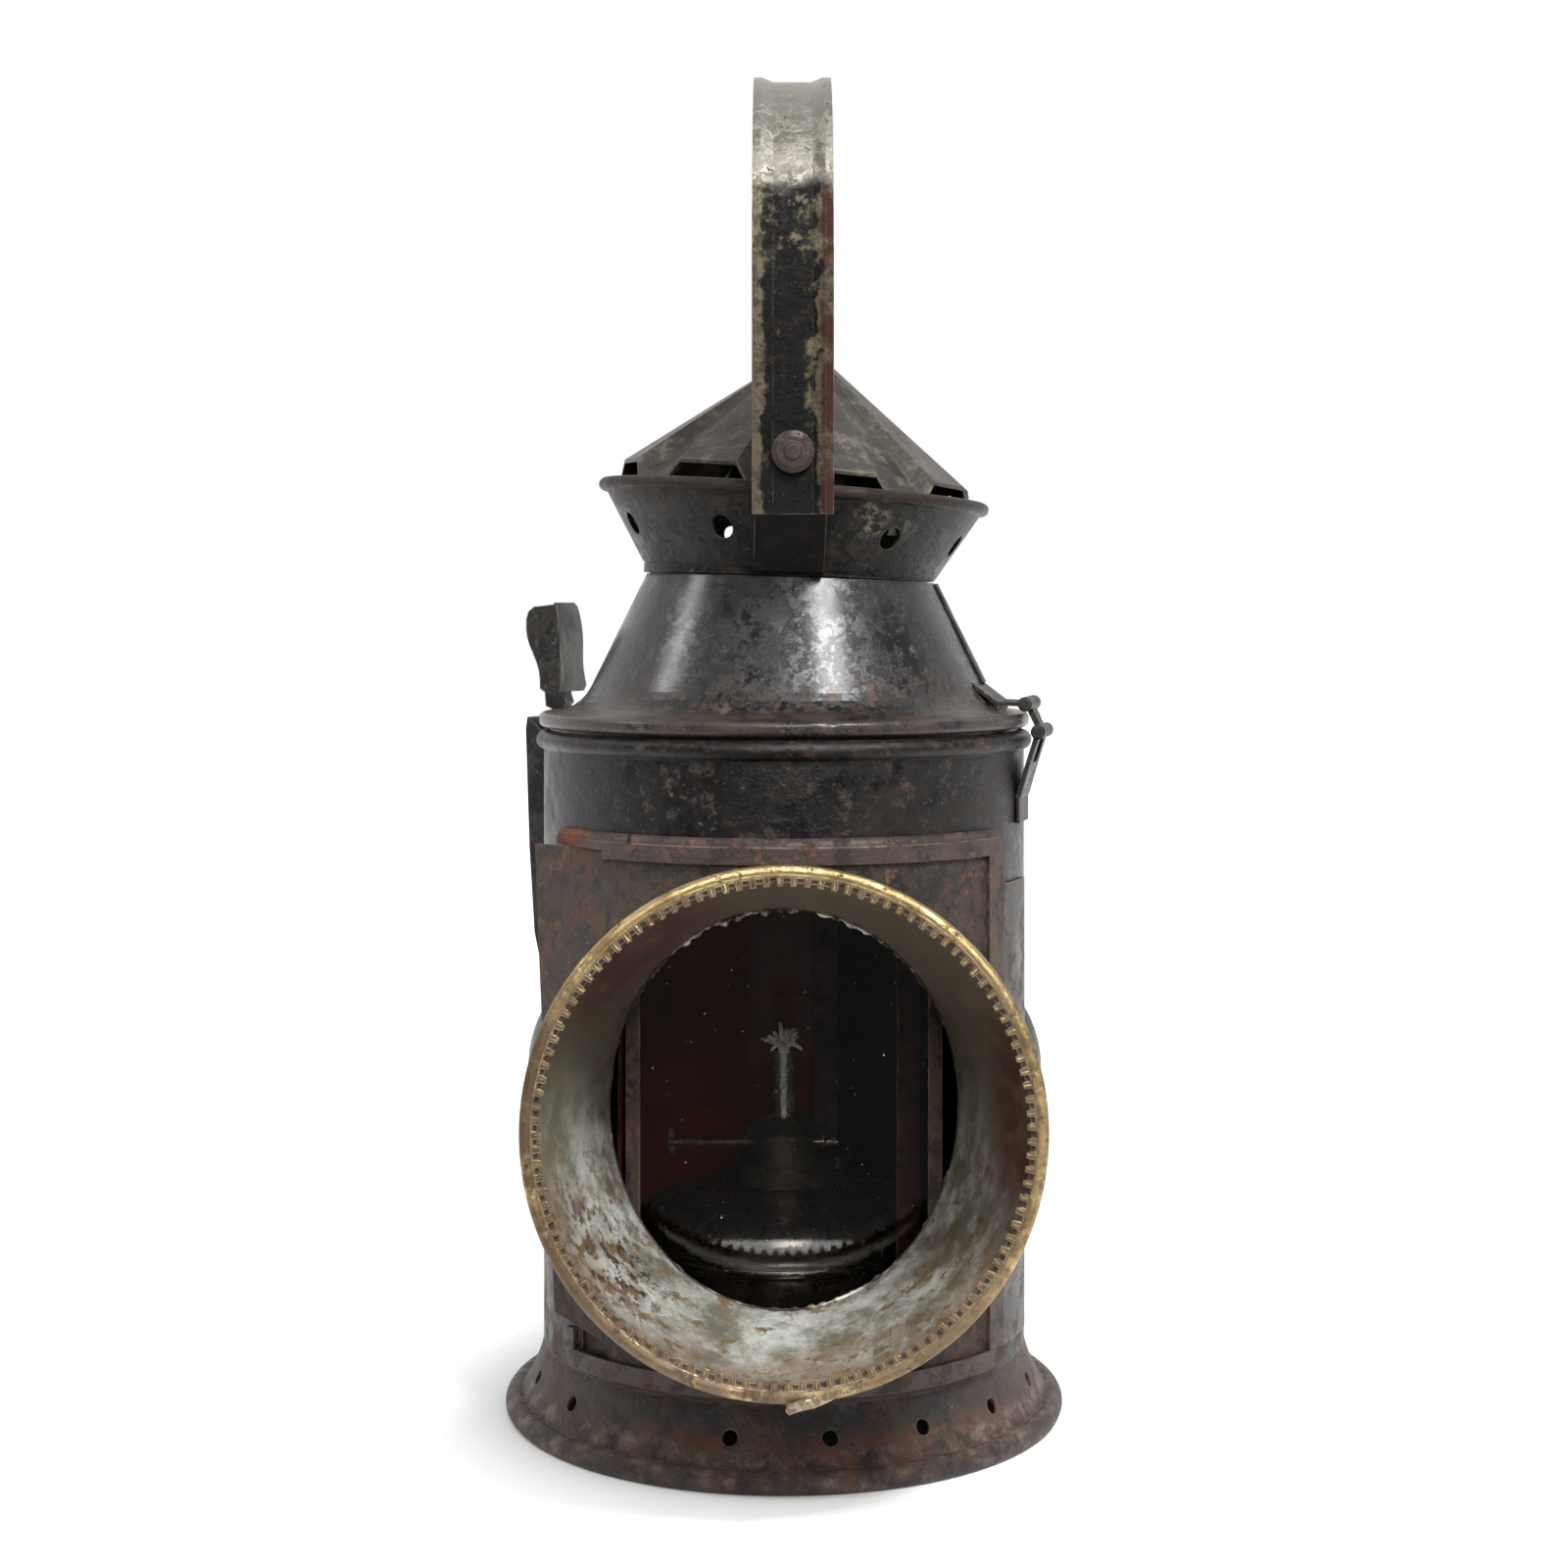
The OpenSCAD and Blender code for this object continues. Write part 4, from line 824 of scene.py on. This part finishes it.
# The cap: one disc of sheet pressed into eight flutes and carried by four strips inside the
# crown. It has worn to a grey brown patina with pale specks.
cap_patina = old_metal("cap_patina", srgb(64, 59, 53), 0.40, 0.3, [
    (srgb(36, 33, 32), 0.42, 0.1, 9, 0.44, 0.62),
    (srgb(104, 99, 86), 0.42, 0.3, 5, 0.50, 0.68),
    (srgb(94, 72, 56), 0.65, 0.1, 3, 0.58, 0.70),
    (srgb(170, 160, 134), 0.6, 0.2, 1.4, 0.64, 0.72, along("X", -0.01, 0.010)),
], edge=(srgb(134, 124, 108), 0.4, 0.6, 0.0005))
dress(cap_patina, "fluted_cap", "cap_struts")


# The ears: two pieces of strip, bent out from the crown's neck, that carry the bail on a dished
# rivet each. The fork that turns the drum hangs inside and is painted like them.
# the black paint is darkened nearly to black as painted shade, where the ears lie behind the
# bail's legs
ear_paint_and_shade = old_metal("ear_paint_and_shade", srgb(12, 10, 9), 0.55, 0.0, [
    (srgb(30, 23, 19), 0.6, 0.0, 5, 0.46, 0.64),
    (srgb(48, 32, 25), 0.75, 0.0, 3, 0.60, 0.70),
], edge=(srgb(150, 138, 124), 0.38, 0.8, 0.0003), gloss=0.25)
dress(ear_paint_and_shade, "bail_ears", "drum_driver")
rivet_steel = old_metal("rivet_steel", srgb(58, 44, 39), 0.42, 0.3, [
    (srgb(48, 38, 34), 0.5, 0.2, 3, 0.46, 0.60),
    (srgb(32, 26, 24), 0.5, 0.1, 2, 0.52, 0.62),
], edge=(srgb(124, 108, 98), 0.36, 0.8, 0.0004), depth=0.00008)
dress(rivet_steel, "bail_rivets")


# The bail: a dished steel strap. Black paint is left in its hollow, the raised edges are rubbed
# to grey, and the top is bare where hands have held it.
bail_x = 0.00195
hollow = between("X", bail_x - 0.0070, bail_x - 0.0062, bail_x + 0.0052, bail_x + 0.0060)
painted = ragged(all_of(hollow, along("Z", 0.288, 0.285)), 0.008, 7)
right_half = between("X", bail_x + 0.0020, bail_x + 0.0034, bail_x + 0.0058, bail_x + 0.0070)
bail_steel = old_metal("bail_steel", srgb(92, 82, 68), 0.5, 0.4, [
    (srgb(60, 51, 43), 0.6, 0.2, 4, 0.46, 0.62),
    (srgb(9, 8, 8), 0.5, 0.0, 12, 0.28, 0.40, painted),
    (srgb(38, 31, 27), 0.6, 0.0, 3.5, 0.55, 0.64, painted),
    (srgb(84, 76, 66), 0.6, 0.2, 1.5, 0.60, 0.66, painted),
    (srgb(100, 90, 70), 0.7, 0.1, 6, 0.50, 0.60,
     ragged(all_of(right_half, between("Z", 0.228, 0.236, 0.284, 0.290)), 0.005, 5)),
    (srgb(112, 104, 86), 0.6, 0.2, 3.5, 0.50, 0.62,
     ragged(between("Z", 0.262, 0.272, 0.286, 0.292), 0.010, 6)),
    (srgb(56, 34, 26), 0.6, 0.1, 9, 0.34, 0.54,
     ragged(all_of(along("X", bail_x + 0.0060, bail_x + 0.0068), along("Z", 0.289, 0.284)),
            0.003, 5)),
    (srgb(152, 148, 138), 0.34, 0.9, 14, 0.24, 0.40, ragged(along("Z", 0.281, 0.287), 0.010, 6)),
    (srgb(88, 78, 70), 0.5, 0.4, 7, 0.54, 0.68, along("Z", 0.294, 0.298)),
    (srgb(66, 54, 46), 0.6, 0.2, 2.2, 0.61, 0.68),
], edge=(srgb(150, 142, 126), 0.34, 0.85, 0.0004), depth=0.00014, gloss=0.15)
dress(bail_steel, "bail_handle")


# The drum: posts between two rings of tinned sheet, browned by heat and tinted red as a painted
# glow from the red pane, which carry the signal panes round the burner. The crown's fork turns
# it.
drum_tin_and_red_glow = old_metal("drum_tin_and_red_glow", srgb(94, 54, 44), 0.45, 0.2, [
    (srgb(48, 29, 25), 0.5, 0.1, 8, 0.45, 0.62),
    (rust, 0.75, 0.0, 4, 0.56, 0.66),
], edge=(srgb(104, 84, 74), 0.4, 0.7, 0.0004))
dress(drum_tin_and_red_glow, "drum_bottom_ring", "drum_posts", "drum_top_spider")


# The font and burner: dark tinned sheet with a dull shine on its shoulder, a brass burner, and
# a bright tube for the wick with its raiser beside it.
font_tin = old_metal("font_tin", srgb(88, 79, 74), 0.26, 0.85, [
    (srgb(62, 54, 50), 0.34, 0.7, 12, 0.44, 0.66),
    (srgb(84, 66, 56), 0.5, 0.4, 3, 0.62, 0.70),
], edge=(srgb(150, 142, 132), 0.3, 0.9, 0.0003), depth=0.000004, soften=0.0016)
dress(font_tin, "oil_font")
burner_brass = old_metal("burner_brass", srgb(92, 78, 60), 0.42, 0.8, [
    (srgb(58, 48, 40), 0.5, 0.5, 4, 0.44, 0.60),
], edge=(srgb(150, 132, 98), 0.3, 1.0, 0.0003), depth=0.00003)
dress(burner_brass, "burner_collar", "filler_cap", "wick_spindle", "wick_knob")
tube_plate = old_metal("tube_plate", bright_tin, 0.22, 0.8, [
    (srgb(150, 140, 128), 0.35, 0.7, 3, 0.50, 0.64),
], edge=(srgb(220, 216, 206), 0.3, 1.0, 0.0002), depth=0.000005, soften=0.0002)
dress(tube_plate, "wick_tube")


# The wick: braided cotton that is drawn up through the tube. Above it the cotton is charred and
# frayed into a tuft of thirty fibres.
cotton = old_metal("wick_cotton", srgb(238, 230, 212), 0.95, 0.0, [
    (srgb(184, 170, 148), 0.95, 0.0, 1.2, 0.48, 0.64),
    (srgb(110, 98, 86), 0.95, 0.0, 1.0, 0.57, 0.68, along("Z", 0.0870, 0.0895)),
], grain=3000, depth=0.0001, gloss=0.1)
dress(cotton, "wick")
fray_seed = random.Random(7)
fibres, wick_top = 30, 0.0848
fray = bpy.data.curves.new("wick_fray", "CURVE")
fray.dimensions = "3D"
fray.bevel_depth = 0.00046
fray.bevel_resolution = 1
fray.use_fill_caps = True
for k in range(fibres):
    lean = math.radians(fray_seed.uniform(12, 62))
    spin = 2 * math.pi * (k + fray_seed.random()) / fibres * 7
    reach = fray_seed.uniform(0.0034, 0.0062)
    droop = fray_seed.uniform(0.0002, 0.0030)
    fibre = fray.splines.new("POLY")
    fibre.points.add(5)
    for j, point in enumerate(fibre.points):
        t = j / 5
        out = 0.0004 + reach * t * math.sin(lean)
        tall = wick_top + reach * t * math.cos(lean) - droop * t * t
        point.co = (out * math.cos(spin), out * math.sin(spin), tall, 1)
        point.radius = (0.7, 1.0, 0.85, 1.1, 0.8, 0.5)[j] * fray_seed.uniform(0.8, 1.2)
wick_fray = bpy.data.objects.new("wick_fray", fray)
bpy.context.scene.collection.objects.link(wick_fray)
bpy.ops.object.select_all(action="DESELECT")
bpy.context.view_layer.objects.active = wick_fray
wick_fray.select_set(True)
bpy.ops.object.convert(target="MESH")
wick_fray.data.materials.append(cotton)
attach(wick_fray, "wick")
